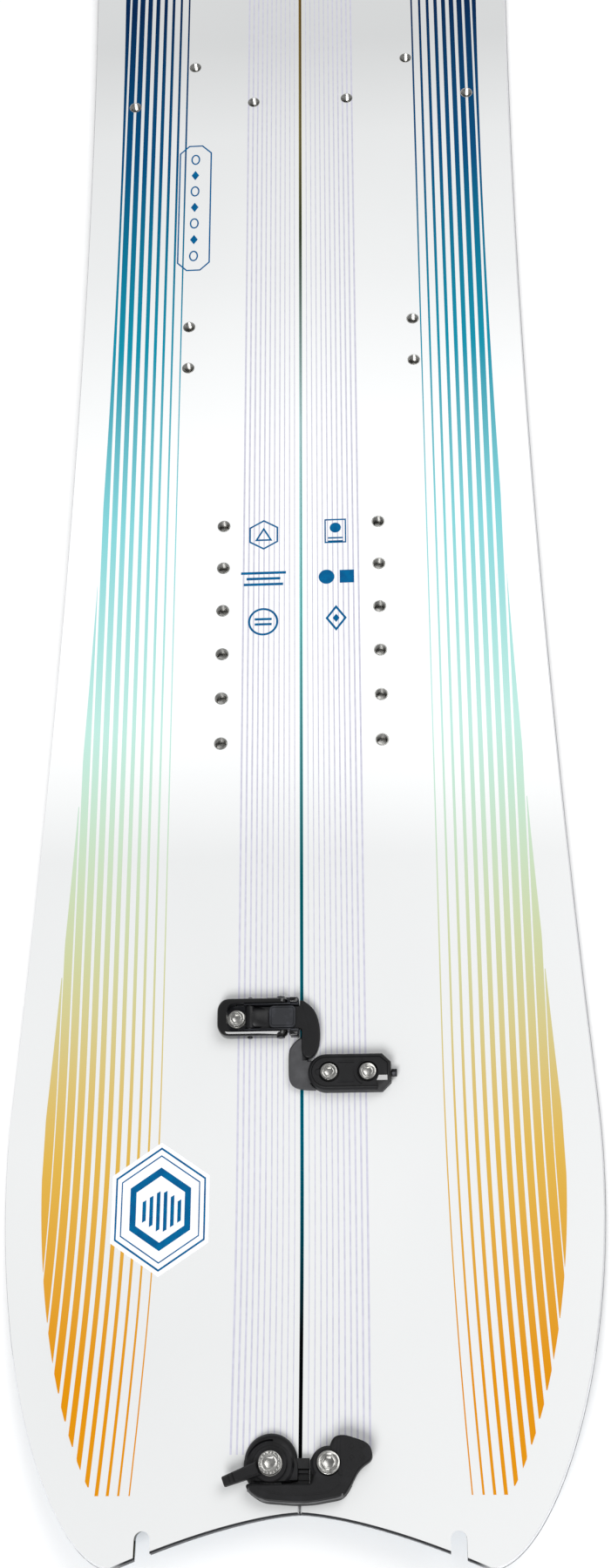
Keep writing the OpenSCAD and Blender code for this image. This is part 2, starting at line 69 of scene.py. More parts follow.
LENGTH = 1560
WAIST = 247
SIDECUT_R = 8000
WAIST_Y = -50
TIP_X = 81
SCOOP = 22
SEAM = 0.15
NOTCH_X, NOTCH_W = 68, 7
NOTCH_Y = -LENGTH / 2 + 16
TAIL_FLAT, TAIL_R, TAIL_ANGLE = -600, 500, math.radians(10)
NOSE_FLAT, NOSE_R, NOSE_ANGLE = 530, 450, math.radians(16)
BASE_T, CORE_TOP, LAMINATE_TOP, TOTAL_T = 1.3, 6.4, 7.0, 7.6
PRINT_T, PRINT_SUNK = 0.05, 0.03
INSERT_HOLE, PRINT_HOLE = 3.5, 3.55

# ---- Outline of the right half ----


def sidecut_x(y):
    return WAIST / 2 + SIDECUT_R - math.sqrt(SIDECUT_R**2 - (y - WAIST_Y) ** 2)


def sidecut_slope(y):
    return (y - WAIST_Y) / SIDECUT_R


def scoop_y(x):
    return -LENGTH / 2 + SCOOP * (1 - (max(x, 0) / TIP_X) ** 1.5)


def bezier(a, b, c, d, steps):
    points = []
    for i in range(steps + 1):
        t = i / steps
        s = 1 - t
        weights = (s**3, 3 * s * s * t, 3 * s * t * t, t**3)
        points.append(tuple(sum(w * p[k] for w, p in zip(weights, (a, b, c, d))) for k in (0, 1)))
    return points


def board_edge():
    """The outer edge, from the nose at the seam round to the tail at the seam, clockwise."""
    nose_y, tail_y, handle = 540, -575, 110
    nose = bezier(
        (0, LENGTH / 2), (100, LENGTH / 2),
        (sidecut_x(nose_y) + handle * sidecut_slope(nose_y), nose_y + handle),
        (sidecut_x(nose_y), nose_y), 48,
    )
    steps = 64
    side = [nose_y + (tail_y - nose_y) * i / steps for i in range(1, steps)]
    tail = bezier(
        (sidecut_x(tail_y), tail_y),
        (sidecut_x(tail_y) - handle * sidecut_slope(tail_y), tail_y - handle),
        (110, -LENGTH / 2), (TIP_X, -LENGTH / 2), 44,
    )
    scoop = [TIP_X * (1 - i / 24) for i in range(1, 25)]
    return nose + [(sidecut_x(y), y) for y in side] + tail + [(x, scoop_y(x)) for x in scoop]


def curve_stations():
    """Heights change along Y only between these places: the two arcs of the side profile."""
    tail = [TAIL_FLAT - TAIL_R * math.sin(TAIL_ANGLE * i / 14) for i in range(15)]
    nose = [NOSE_FLAT + NOSE_R * math.sin(NOSE_ANGLE * i / 18) for i in range(19)]
    return sorted(tail + nose)


EDGE = board_edge()
STATIONS = curve_stations()
SEAM_LINE = [(0, y) for y in STATIONS]


def loop(outer, seam):
    """The right half's closed outline, moved in by outer all round and by seam from the middle."""
    points = EDGE + SEAM_LINE
    count = len(points)
    path = []
    for i, (x, y) in enumerate(points):
        before, after = Vector(points[i - 1]), Vector(points[(i + 1) % count])
        here = Vector((x, y))
        e1, e2 = (here - before).normalized(), (after - here).normalized()
        n1, n2 = Vector((e1.y, -e1.x)), Vector((e2.y, -e2.x))
        d1 = outer if 1 <= i <= len(EDGE) - 1 else seam
        d2 = outer if i < len(EDGE) - 1 else seam
        c = n1.dot(n2)
        if d1 == d2 or 1 - c * c < 1e-6:
            path.append(here + d2 * (n1 + n2) / (1 + c))
        else:
            path.append(here + ((d1 - d2 * c) * n1 + (d2 - d1 * c) * n2) / (1 - c * c))
    return [(p.x, p.y) for p in path]


def surface_z(y):
    """Height of the running surface above the floor at y."""
    if y < TAIL_FLAT:
        run, radius, angle = TAIL_FLAT - y, TAIL_R, TAIL_ANGLE
    elif y > NOSE_FLAT:
        run, radius, angle = y - NOSE_FLAT, NOSE_R, NOSE_ANGLE
    else:
        return 0
    arc = radius * math.sin(angle)
    if run < arc:
        return radius - math.sqrt(radius**2 - run**2)
    return radius * (1 - math.cos(angle)) + (run - arc) * math.tan(angle)


# ---- Places of the inserts and clips ----

INSERT_PITCH, COLUMN_X = 25.4, 41.5
REAR_FOOT_Y, FRONT_FOOT_Y = -324.5, 235.5
RISER_X, RISER_Y, RISER_PITCH = 63, -145.8, 27.3
TOURING_Y, TOURING_PITCH, TOURING_LEAD = 25.4, 70.8, 28.2
REAR_CLIP_Y, FRONT_CLIP_Y, CATCH_OFFSET = -534, 470, 27.5
TAIL_CLIP_Y, NOSE_CLIP_Y, TIP_SCREW_X = -738, 740, 12.7
BOLT_X, CATCH_SCREWS = 31.4, (13.25, 31.7)


def ramp_place(y, angle, turn):
    spin = Matrix.Rotation(turn, 4, "Z") @ Matrix.Rotation(-angle, 4, "X")
    return Matrix.Translation((0, y, surface_z(y) + TOTAL_T)) @ spin


PLACES = {
    "rear": Matrix.Translation((0, REAR_CLIP_Y, TOTAL_T)),
    "front": Matrix.Translation((0, FRONT_CLIP_Y, TOTAL_T)) @ Matrix.Rotation(math.pi, 4, "Z"),
    "tail": ramp_place(TAIL_CLIP_Y, TAIL_ANGLE, 0),
    "nose": ramp_place(NOSE_CLIP_Y, NOSE_ANGLE, math.pi),
}


def open_inserts():
    """The inserts that show, as (x, y)."""
    rows = [(i - 2.5) * INSERT_PITCH for i in range(6)]
    feet = [(COLUMN_X, centre + row) for centre in (REAR_FOOT_Y, FRONT_FOOT_Y) for row in rows]
    riser = [(RISER_X, RISER_Y + s * RISER_PITCH / 2) for s in (-1, 1)]
    touring = [(RISER_X + s * TOURING_PITCH / 2, TOURING_Y) for s in (-1, 1)]
    return feet + riser + touring + [(RISER_X, TOURING_Y + TOURING_LEAD)]


def hidden_inserts(side):
    """The inserts under the clips of one half, side being 1 on the right and -1 on the left."""
    lever = REAR_CLIP_Y if side < 0 else FRONT_CLIP_Y
    catch = FRONT_CLIP_Y + CATCH_OFFSET if side < 0 else REAR_CLIP_Y - CATCH_OFFSET
    return [(BOLT_X, lever)] + [(x, catch) for x in CATCH_SCREWS]


# ---- Meshes ----


def add_object(name, data):
    obj = bpy.data.objects.new(name, data)
    bpy.context.scene.collection.objects.link(obj)
    return obj


def mesh_object(name, bm):
    """An object of that name, made from a bmesh, which is freed."""
    mesh = bpy.data.meshes.new(name)
    bm.to_mesh(mesh)
    bm.free()
    return add_object(name, mesh)


def finish_mesh(name, bm, body, material):
    """Turns a bmesh in millimetres into a piece that rides on a body."""
    for v in bm.verts:
        v.co *= MM
    bmesh.ops.recalc_face_normals(bm, faces=bm.faces[:])
    return dress(mesh_object(name, bm), body, material)


def dress(obj, body, material, crease=32):
    obj.data.shade_smooth()
    obj.data.set_sharp_from_angle(angle=math.radians(crease))
    obj.data.materials.clear()
    obj.data.materials.append(material)
    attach(obj, body)
    return obj


def mirrored(bm, side):
    if side < 0:
        bmesh.ops.scale(bm, vec=(-1, 1, 1), verts=bm.verts[:])
    return bm


def placed(bm, matrix):
    bmesh.ops.transform(bm, matrix=matrix, verts=bm.verts[:])
    return bm


def merge(*parts):
    """One bmesh that holds several."""
    whole = bmesh.new()
    for part in parts:
        scratch = bpy.data.meshes.new("scratch")
        part.to_mesh(scratch)
        part.free()
        whole.from_mesh(scratch)
        bpy.data.meshes.remove(scratch)
    return whole


def slab(points, z0, z1, follow=False):
    """A flat polygon with thickness. With follow, it bends up with the running surface."""
    bm = bmesh.new()
    bm.faces.new([bm.verts.new((x, y, 0)) for x, y in points])
    if follow:
        for y in STATIONS:
            bmesh.ops.bisect_plane(
                bm, geom=bm.verts[:] + bm.edges[:] + bm.faces[:], plane_co=(0, y, 0),
                plane_no=(0, 1, 0), dist=1e-4,
            )
    low = bm.verts[:]
    raised = bmesh.ops.extrude_face_region(bm, geom=bm.faces[:], use_keep_orig=True)["geom"]
    high = [g for g in raised if isinstance(g, bmesh.types.BMVert)]
    for verts, z in ((low, z0), (high, z1)):
        for v in verts:
            v.co.z = z + (surface_z(v.co.y) if follow else 0)
    return bm


def sweep(rings, closed):
    """Skins a row of matching rings. Unless closed, its two ends are capped."""
    bm = bmesh.new()
    rows = [[bm.verts.new(p) for p in ring] for ring in rings]
    pairs = list(zip(rows, rows[1:] + rows[:1])) if closed else list(zip(rows, rows[1:]))
    for a, b in pairs:
        for i in range(len(a)):
            j = (i + 1) % len(a)
            bm.faces.new((a[i], a[j], b[j], b[i]))
    if not closed:
        bm.faces.new(rows[0])
        bm.faces.new(rows[-1])
    return bm


def rim(profile, seam, closed):
    """Carries a profile of (inset, height) round the outer edge, or round the whole outline."""
    loops = [loop(d, seam if not closed else d) for d, _ in profile]
    count = len(loops[0]) if closed else len(EDGE)
    rings = []
    for i in range(count):
        ring = []
        for (_, z), points in zip(profile, loops):
            x, y = points[i]
            shift = SEAM if closed and i >= len(EDGE) else 0
            ring.append((x + shift, y, z + surface_z(y)))
        rings.append(ring)
    return sweep(rings, closed)


def lathe(profile, segments=32, closed=False):
    """Turns a profile of (radius, height) about Z. Closed profiles make a ring."""
    rings = []
    for i in range(segments):
        a = 2 * math.pi * i / segments
        rings.append([(r * math.cos(a), r * math.sin(a), z) for r, z in profile])
    bm = sweep(rings, True) if closed else bmesh.new()
    if not closed:
        rows = [[bm.verts.new(p) for p in ring[1:-1]] for ring in rings]
        ends = [bm.verts.new(rings[0][0]), bm.verts.new(rings[0][-1])]
        for a, b in zip(rows, rows[1:] + rows[:1]):
            for i in range(len(a) - 1):
                bm.faces.new((a[i], a[i + 1], b[i + 1], b[i]))
            bm.faces.new((ends[0], a[0], b[0]))
            bm.faces.new((a[-1], ends[1], b[-1]))
    return bm


def moved(bm, x, y):
    return placed(bm, Matrix.Translation((x, y, 0)))


def pin(x, y, radius, z0, z1, segments=28):
    return moved(lathe([(0, z0), (radius, z0), (radius, z1), (0, z1)], segments), x, y)


def rounded(points, reach, corners=None):
    """An outline with corners rounded over a reach along each side. Corners lists exceptions."""
    path = []
    for i, point in enumerate(points):
        own = (corners or {}).get(i, reach)
        here = Vector(point)
        back = Vector(points[i - 1]) - here
        ahead = Vector(points[(i + 1) % len(points)]) - here
        if own <= 0:
            path.append(point)
            continue
        start = here + back.normalized() * min(own, 0.48 * back.length)
        end = here + ahead.normalized() * min(own, 0.48 * ahead.length)
        for t in (0, 0.25, 0.5, 0.75, 1):
            spot = (1 - t) ** 2 * start + 2 * t * (1 - t) * here + t * t * end
            path.append((spot.x, spot.y))
    return path


def inset(points, amount):
    """An outline moved inwards by amount, or outwards when that is negative."""
    area = sum(a[0] * b[1] - b[0] * a[1] for a, b in zip(points, points[1:] + points[:1]))
    turn = 1 if area > 0 else -1
    path = []
    for i, point in enumerate(points):
        e1 = (Vector(point) - Vector(points[i - 1])).normalized()
        e2 = (Vector(points[(i + 1) % len(points)]) - Vector(point)).normalized()
        n1, n2 = Vector((-e1.y, e1.x)) * turn, Vector((-e2.y, e2.x)) * turn
        spot = Vector(point) + amount * (n1 + n2) / max(1 + n1.dot(n2), 0.3)
        path.append((spot.x, spot.y))
    return path


def stack(points, profile):
    """A solid on an outline, whose sides follow a profile of (inset, height)."""
    return sweep([[(x, y, z) for x, y in inset(points, d)] for d, z in profile], False)


def pillow(points, z0, z1, edge, foot=0.25):
    """A plate whose upper edges are rounded."""
    turns = [math.radians(a) for a in (90, 68, 45, 22, 0)]
    curve = [(edge * (1 - math.sin(a)), z1 - edge * (1 - math.cos(a))) for a in turns]
    return stack(points, [(foot, z0), (0, z0 + foot)] + curve)


def across(x, z, radius, y0, y1, edge=0.0):
    """A round bar along Y."""
    profile = [(0, y0), (radius - edge, y0), (radius, y0 + edge), (radius, y1 - edge),
               (radius - edge, y1), (0, y1)]
    turn = Matrix.Rotation(-math.pi / 2, 4, "X")
    return placed(lathe(profile, 36), Matrix.Translation((x, 0, z)) @ turn)


def lengthwise(y, z, radius, x0, x1):
    """A round bar along X."""
    bar = lathe([(0, x0), (radius, x0), (radius, x1), (0, x1)], 24)
    return placed(bar, Matrix.Translation((0, y, z)) @ Matrix.Rotation(math.pi / 2, 4, "Y"))


def box(x0, x1, y0, y1, z0, z1):
    return slab([(x0, y0), (x0, y1), (x1, y1), (x1, y0)], z0, z1)


def ribbon(path, width, z0, z1, drop=0.0):
    """A band of one width along a path, its top lower by drop along the right hand edge."""
    rings = []
    for i, point in enumerate(path):
        ahead = Vector(path[min(i + 1, len(path) - 1)]) - Vector(path[max(i - 1, 0)])
        off = Vector((-ahead.y, ahead.x)).normalized() * width / 2
        x, y = point
        rings.append([(x - off.x, y - off.y, z0), (x + off.x, y + off.y, z0),
                      (x + off.x, y + off.y, z1), (x - off.x, y - off.y, z1 - drop)])
    return sweep(rings, False)


def arc_groove(x, radius, width, z0, z1, start, end, y=0.0):
    """A square band bent round a centre, between two angles in degrees."""
    path = []
    for i in range(25):
        a = math.radians(start + (end - start) * i / 24)
        path.append((x + radius * math.cos(a), y + radius * math.sin(a)))
    return ribbon(path, width, z0, z1)


def frame_body(node):
    return nodes[node]["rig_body"]


def combine(obj, other, operation):
    """Joins a bmesh in millimetres to an object, or cuts it out, by an exact boolean."""
    for v in other.verts:
        v.co *= MM
    bmesh.ops.recalc_face_normals(other, faces=other.faces[:])
    bmesh.ops.triangulate(other, faces=other.faces[:])
    tool = mesh_object("tool", other)
    change = obj.modifiers.new("change", "BOOLEAN")
    change.operation = operation
    change.solver = "EXACT"
    change.object = tool
    bake_modifiers(obj)
    bpy.data.objects.remove(tool)
    return obj


def carve(obj, cutter):
    return combine(obj, cutter, "DIFFERENCE")


def level_faces(obj):
    """Keeps the shading of large flat faces even, up to their rounded edges."""
    obj.modifiers.new("level", "WEIGHTED_NORMAL").keep_sharp = True
    bake_modifiers(obj)


def shaped(clip, part, first, steps, slot):
    """A piece built anew from smooth shapes in its clip's frame, which stands for a CAD node."""
    piece = fitting(clip, part + "_shape", part, first, slot)
    for operation, other in steps:
        combine(piece, placed(other, PLACES[clip]), operation)
    dress(piece, frame_body(f"{clip}_{part}"), FINISH[slot], 35)
    level_faces(piece)
    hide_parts(f"{clip}_{part}")


def fitting(clip, name, part, bm, slot):
    """A visible piece in its clip's frame, on the same body as a part of that clip."""
    body = frame_body(f"{clip}_{part}")
    return finish_mesh(f"{clip}_{name}", placed(bm, PLACES[clip]), body, FINISH[slot])


def bake_modifiers(obj):
    bpy.context.view_layer.update()
    evaluated = obj.evaluated_get(bpy.context.evaluated_depsgraph_get())
    mesh = bpy.data.meshes.new_from_object(evaluated)
    obj.modifiers.clear()
    obj.data = mesh


def soften(clip, part, width, slot, *cutters):
    """A copy of a CAD node with rounded edges, which stands for it. It is cut first."""
    node = f"{clip}_{part}"
    bm = bmesh.new()
    bm.from_mesh(nodes[node].data)
    bmesh.ops.remove_doubles(bm, verts=bm.verts[:], dist=2e-6)
    bmesh.ops.dissolve_limit(bm, angle_limit=math.radians(1), verts=bm.verts[:], edges=bm.edges[:])
    obj = mesh_object(node + "_shape", bm)
    for cutter in cutters:
        carve(obj, placed(cutter, PLACES[clip]))
    bevel = obj.modifiers.new("edges", "BEVEL")
    bevel.width = width * MM
    bevel.segments = 3
    bevel.limit_method = "ANGLE"
    bevel.angle_limit = math.radians(28)
    bevel.use_clamp_overlap = True
    bake_modifiers(obj)
    dress(obj, frame_body(node), FINISH[slot], 40)
    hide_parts(node)


# ---- Materials ----


def srgb(r, g, b):
    """A colour given as 0 to 255, as the shader wants it."""
    return tuple(
        (c / 255 / 12.92 if c / 255 <= 0.04045 else ((c / 255 + 0.055) / 1.055) ** 2.4)
        for c in (r, g, b)
    ) + (1.0,)


class Shade:
    """A procedural material in the making. Patterns are laid out in the piece's own space."""

    def __init__(self, name, color, roughness, metallic=0.0, **sockets):
        self.material = bpy.data.materials.new(name)
        self.material.use_nodes = True
        self.tree = self.material.node_tree
        self.shader = self.tree.nodes["Principled BSDF"]
        self.set("Base Color", srgb(*color))
        self.set("Roughness", roughness)
        self.set("Metallic", metallic)
        for key, value in sockets.items():
            self.set(key.replace("_", " "), value)
        self.place = self.add("ShaderNodeTexCoord").outputs["Object"]

    def set(self, socket, value):
        self.shader.inputs[socket].default_value = value

    def add(self, kind, **settings):
        node = self.tree.nodes.new(kind)
        for key, value in settings.items():
            setattr(node, key, value)
        return node

    def link(self, source, target):
        self.tree.links.new(source, target)

    def stretched(self, stretch):
        """The place, with each axis scaled, in repeats per metre."""
        mapping = self.add("ShaderNodeMapping")
        mapping.inputs["Scale"].default_value = stretch
        self.link(self.place, mapping.inputs["Vector"])
        return mapping.outputs["Vector"]

    def noise(self, stretch, detail=3.0):
        node = self.add("ShaderNodeTexNoise")
        node.inputs["Scale"].default_value = 1.0
        node.inputs["Detail"].default_value = detail
        self.link(self.stretched(stretch), node.inputs["Vector"])
        return node.outputs["Fac"]

    def wave(self, stretch, axis, distortion=0.0, profile="SIN"):
        node = self.add("ShaderNodeTexWave", bands_direction=axis, wave_profile=profile)
        node.inputs["Scale"].default_value = 1.0
        node.inputs["Distortion"].default_value = distortion
        self.link(self.stretched(stretch), node.inputs["Vector"])
        return node.outputs["Fac"]

    def along(self, low, high, axis="Y"):
        """0 to 1 between two places on an axis, in millimetres."""
        split = self.add("ShaderNodeSeparateXYZ")
        self.link(self.place, split.inputs[0])
        node = self.add("ShaderNodeMapRange")
        node.inputs["From Min"].default_value = low * MM
        node.inputs["From Max"].default_value = high * MM
        self.link(split.outputs[axis], node.inputs["Value"])
        return node.outputs["Result"]

    def math(self, operation, a, b):
        node = self.add("ShaderNodeMath", operation=operation)
        for i, value in enumerate((a, b)):
            if isinstance(value, (int, float)):
                node.inputs[i].default_value = value
            else:
                self.link(value, node.inputs[i])
        return node.outputs[0]

    def ramp(self, factor, stops):
        """Stops are (position, colour): a colour is 0 to 255 thrice, or one factor for a grey."""
        node = self.add("ShaderNodeValToRGB")
        band = node.color_ramp
        while len(band.elements) < len(stops):
            band.elements.new(0.5)
        for element, (position, value) in zip(band.elements, stops):
            element.position = position
            element.color = srgb(*value) if isinstance(value, tuple) else (value,) * 3 + (1,)
        self.link(factor, node.inputs["Fac"])
        return node.outputs["Color"]

    def color(self, socket):
        self.link(socket, self.shader.inputs["Base Color"])
        return self

    def multiplied(self, a, b, share=1.0):
        node = self.add("ShaderNodeMix", data_type="RGBA", blend_type="MULTIPLY")
        node.inputs[0].default_value = share
        self.link(a, node.inputs[6])
        self.link(b, node.inputs[7])
        return node.outputs[2]

    def rough(self, factor, low, high):
        node = self.add("ShaderNodeMapRange")
        node.inputs["To Min"].default_value = low
        node.inputs["To Max"].default_value = high
        self.link(factor, node.inputs["Value"])
        self.link(node.outputs["Result"], self.shader.inputs["Roughness"])
        return self

    def bump(self, height, depth):
        """Height is a factor, and depth what it stands for, in millimetres."""
        node = self.add("ShaderNodeBump")
        node.inputs["Distance"].default_value = depth * MM
        node.inputs["Strength"].default_value = 1.0
        self.link(height, node.inputs["Height"])
        self.link(node.outputs["Normal"], self.shader.inputs["Normal"])
        return self


def cap_sheet():
    s = Shade("cap_sheet", (240, 240, 241), 0.36, Coat_Weight=0.15, Coat_Roughness=0.2,
              Specular_IOR_Level=0.35)
    half = LENGTH / 2
    # Painted light and shade: the fade along Y makes the topsheet lighter between y -380 and -220,
    # and darker towards the tail, just ahead of the middle and at the nose.
    fade = s.ramp(s.along(-half, half), [
        ((y + half) / LENGTH, (grey, grey + 1, grey + 1)) for y, grey in
        ((-780, 225), (-450, 225), (-380, 248), (-220, 248), (-100, 232), (0, 226), (70, 210),
         (330, 223), (780, 234))
    ])
    cloud = s.ramp(s.noise((7, 3, 7)), [(0.3, 0.965), (0.7, 1.0)])
    s.color(s.multiplied(fade, cloud))
    s.rough(s.noise((420, 90, 420)), 0.3, 0.44)
    return s.bump(s.noise((900, 900, 900), 2), 0.012).material


# The fan's inks, from mid length back to the tail: navy, blue, teal, aqua, mint, sand, ochre, amber
FAN_FADE = [
    (100, (0, 35, 75)), (-20, (0, 75, 120)), (-150, (15, 140, 165)), (-260, (130, 205, 210)),
    (-380, (185, 225, 215)), (-500, (195, 200, 155)), (-600, (210, 170, 75)),
    (-700, (215, 140, 10)),
]
FAN_MIRROR_Y, FAN_NOSE_SHARE = 112, 0.79


def fading_ink():
    s = Shade("fading_ink", (10, 62, 114), 0.4, Specular_IOR_Level=0.05)
    half = LENGTH / 2
    ahead = [
        (FAN_MIRROR_Y + (FAN_MIRROR_Y - y) * FAN_NOSE_SHARE, color) for y, color in FAN_FADE[1:]
    ]
    stops = sorted(FAN_FADE + ahead)
    s.color(s.ramp(s.along(-half, half), [((y + half) / LENGTH, color) for y, color in stops]))
    s.rough(s.noise((500, 120, 500)), 0.34, 0.48)
    return s.bump(s.noise((1300, 1300, 1300), 2), 0.01).material


def plain_ink(name, low, high):
    s = Shade(name, high, 0.42, Specular_IOR_Level=0.05)
    s.color(s.ramp(s.noise((260, 260, 260)), [(0.35, low), (0.65, high)]))
    return s.bump(s.noise((1500, 1500, 1500), 2), 0.01).material


def seam_plastic():
    s = Shade("seam_plastic", (0, 110, 125), 0.4, Specular_IOR_Level=0.2)
    half = LENGTH / 2
    stops = [
        (-757, (228, 229, 230)), (-752, (2, 4, 6)), (-680, (2, 8, 12)), (-590, (0, 125, 150)),
        (-460, (0, 120, 130)), (-310, (150, 220, 220)), (-200, (205, 230, 230)),
        (-70, (85, 95, 70)), (0, (145, 135, 85)), (100, (140, 112, 55)), (780, (150, 112, 40)),
    ]
    s.color(s.ramp(s.along(-half, half), [((y + half) / LENGTH, color) for y, color in stops]))
    s.rough(s.noise((300, 40, 300)), 0.34, 0.5)
    return s.bump(s.noise((1200, 60, 1200), 2), 0.02).material


def sidewall_plastic():
    """Pale along the sides, and dark at the tips between the notches: that dark is painted shade.
    """
    s = Shade("sidewall_plastic", (226, 227, 229), 0.42)
    painted_tip_shade, pale = (32, 34, 38), (228, 229, 231)
    side = s.ramp(s.along(-200, 200, "X"), [(0.29, pale), (0.31, painted_tip_shade), (0.69, painted_tip_shade), (0.71, pale)])
    s.color(s.multiplied(side, s.ramp(s.noise((60, 20, 160)), [(0.3, 0.93), (0.7, 1.0)])))
    s.rough(s.noise((200, 30, 900)), 0.34, 0.55)
    return s.bump(s.wave((0, 0, 900), "Z", 3.0), 0.02).material


def wood():
    s = Shade("wood", (205, 168, 116), 0.6)
    staves = s.ramp(
        s.wave((26, 0, 0), "X", 0.0, "SAW"),
        [(0.0, (196, 158, 106)), (0.48, (214, 182, 132)), (0.52, (178, 138, 88)),
         (1.0, (206, 170, 120))],
    )
    grain = s.ramp(s.noise((420, 9, 420), 6), [(0.35, (150, 112, 70)), (0.6, (224, 196, 148))])
    s.color(s.multiplied(staves, grain, 0.7))
    return s.bump(s.noise((600, 14, 600), 5), 0.06).material


def glass_laminate():
    s = Shade("glass_laminate", (196, 190, 150), 0.42)
    over = s.wave((520, 0, 0), "X")
    under = s.wave((0, 520, 0), "Y")
    weave = s.math("MULTIPLY", over, under)
    s.color(s.ramp(weave, [(0.1, (168, 160, 118)), (0.8, (212, 206, 170))]))
    return s.bump(weave, 0.05).material


def sintered_base():
    s = Shade("sintered_base", (12, 44, 84), 0.33)
    half = LENGTH / 2
    fade = s.ramp(
        s.along(-half, half),
        [(0.0, (8, 96, 128)), (0.35, (8, 40, 84)), (0.65, (8, 40, 84)), (1.0, (8, 96, 128))],
    )
    streak = s.ramp(s.noise((160, 3, 10), 5), [(0.35, 0.72), (0.7, 1.0)])
    s.color(s.multiplied(fade, streak))
    s.rough(s.noise((700, 6, 50)), 0.26, 0.46)
    return s.bump(s.noise((1500, 14, 50), 3), 0.015).material


def worked_metal(name, color, stretch, low, high):
    """Steel or alloy with the marks of a tool that ran along the least stretched axis."""
    s = Shade(name, color, (low + high) / 2, 1.0)
    marks = s.noise(stretch, 4)
    darker = tuple(c * 0.78 for c in color)
    s.color(s.ramp(marks, [(0.3, darker), (0.7, color)]))
    s.rough(marks, low, high)
    return s.bump(marks, 0.01).material


def black_finish(name, color, low, high, grain, depth, worn=1.5, **sockets):
    """Black anodised, painted or moulded surfaces, with a fine grain and paler rubbed spots."""
    s = Shade(name, color, (low + high) / 2, **sockets)
    rubbed = tuple(c * worn + 4 for c in color)
    s.color(s.ramp(s.noise((140, 140, 140), 5), [(0.5, color), (0.78, rubbed)]))
    s.rough(s.noise((330, 330, 330)), low, high)
    return s.bump(s.noise((grain, grain, grain), 2), depth).material


TOPSHEET = cap_sheet()
FAN_INK = fading_ink()
MARK_INK = plain_ink("mark_ink", (4, 84, 134), (0, 98, 148))
PIN_INK = plain_ink("pin_ink", (194, 193, 208), (204, 203, 217))
BACKING = plain_ink("backing", (238, 239, 242), (244, 244, 246))
SEAM_PLASTIC = seam_plastic()
SIDEWALL = sidewall_plastic()
WOOD = wood()
LAMINATE = glass_laminate()
BASE = sintered_base()
EDGE_STEEL = worked_metal("edge_steel", (182, 184, 188), (900, 12, 900), 0.24, 0.42)
INSERT_STEEL = worked_metal("insert_steel", (205, 204, 200), (500, 500, 90), 0.18, 0.34)
SCREW_STEEL = worked_metal("screw_steel", (200, 199, 195), (380, 380, 120), 0.16, 0.32)
CLIP_ALLOY = black_finish("clip_alloy", (34, 35, 39), 0.3, 0.45, 900, 0.02, Metallic=0.6)
LEVER_BLACK = black_finish("lever_gloss", (5, 5, 6), 0.1, 0.18, 300, 0.01, Coat_Weight=0.3)
HOOK_BLACK = black_finish("hook_satin", (12, 12, 14), 0.34, 0.48, 800, 0.02, Specular_IOR_Level=0.3)
HOOK_GREY = black_finish("hook_grey", (62, 62, 64), 0.34, 0.5, 900, 0.03, 1.15,
                         Specular_IOR_Level=0.4)
PAD = black_finish("pad_rubber", (40, 41, 45), 0.5, 0.68, 1500, 0.06, Specular_IOR_Level=0.3)
CLIP_PLASTIC = black_finish("clip_plastic", (14, 14, 16), 0.42, 0.6, 1300, 0.05,
                            Specular_IOR_Level=0.3)

# The finish of each slot of the clips
FINISH = {
    "clip_alloy": CLIP_ALLOY, "lever_black": LEVER_BLACK, "hook_black": HOOK_BLACK,
    "hook_grey": HOOK_GREY, "pad": PAD, "clip_plastic": CLIP_PLASTIC, "screw_steel": SCREW_STEEL,
}

# ---- Board halves ----

FAN_COUNT, FAN_START, FAN_STEP, FAN_MARGIN = 12, 67.5, 4.8, 18.3
FAN_TAIL, FAN_NOSE = -751, 742


def fan_limit():
    """How far out the fan may reach at a given y, as a function."""
    inner = loop(FAN_MARGIN, 0)[: len(EDGE)]
    widest = max(range(len(inner)), key=lambda i: inner[i][1] < -LENGTH / 2 + 30 and inner[i][0])
    path = inner[: widest + 1]

    def limit(y):
        for (x1, y1), (x2, y2) in zip(path, path[1:]):
            if y2 <= y <= y1:
                return x1 + (x2 - x1) * (y1 - y) / max(y1 - y2, 1e-6)
        return 0

    return limit


def fan_stripe(k, limit):
    """One stripe of the fan as closed strips, trimmed by the fan's outer curve."""
    parts, row = [], []
    y = FAN_TAIL
    while y <= FAN_NOSE:
        ahead = min(max((y + 200) / 200, 0), 1)
        half = min(0.6 + 0.35 * k + 0.4 * ahead, 4.45) / 2
        drift = 7 * (max(abs(y + 20) - 521, 0) / 210) ** 2
        centre = FAN_START + FAN_STEP * k + drift
        reach = min(centre + half, limit(y))
        if reach > centre - half + 0.12:
            row.append((centre - half, reach, y))
        elif row:
            parts.append(row)
            row = []
        y += 1.2 if abs(y) > 560 else 6
    parts.append(row)
    strips = []
    for row in parts:
        if len(row) > 2:
            rings = []
            for x0, x1, y in row:
                z = surface_z(y) + TOTAL_T
                low, high = z - PRINT_SUNK, z + PRINT_T
                rings.append([(x0, y, low), (x1, y, low), (x1, y, high), (x0, y, high)])
            strips.append(sweep(rings, False))
    return strips


def line_strip(x, width, y0, y1):
    """A straight printed line along the board."""
    points = [(x - width / 2, y0), (x - width / 2, y1), (x + width / 2, y1), (x + width / 2, y0)]
    return slab(points, TOTAL_T - PRINT_SUNK, TOTAL_T + PRINT_T, True)


def holes(radius, places):
    return merge(*[pin(x, y, radius, -2, TOTAL_T + 4) for x, y in places])


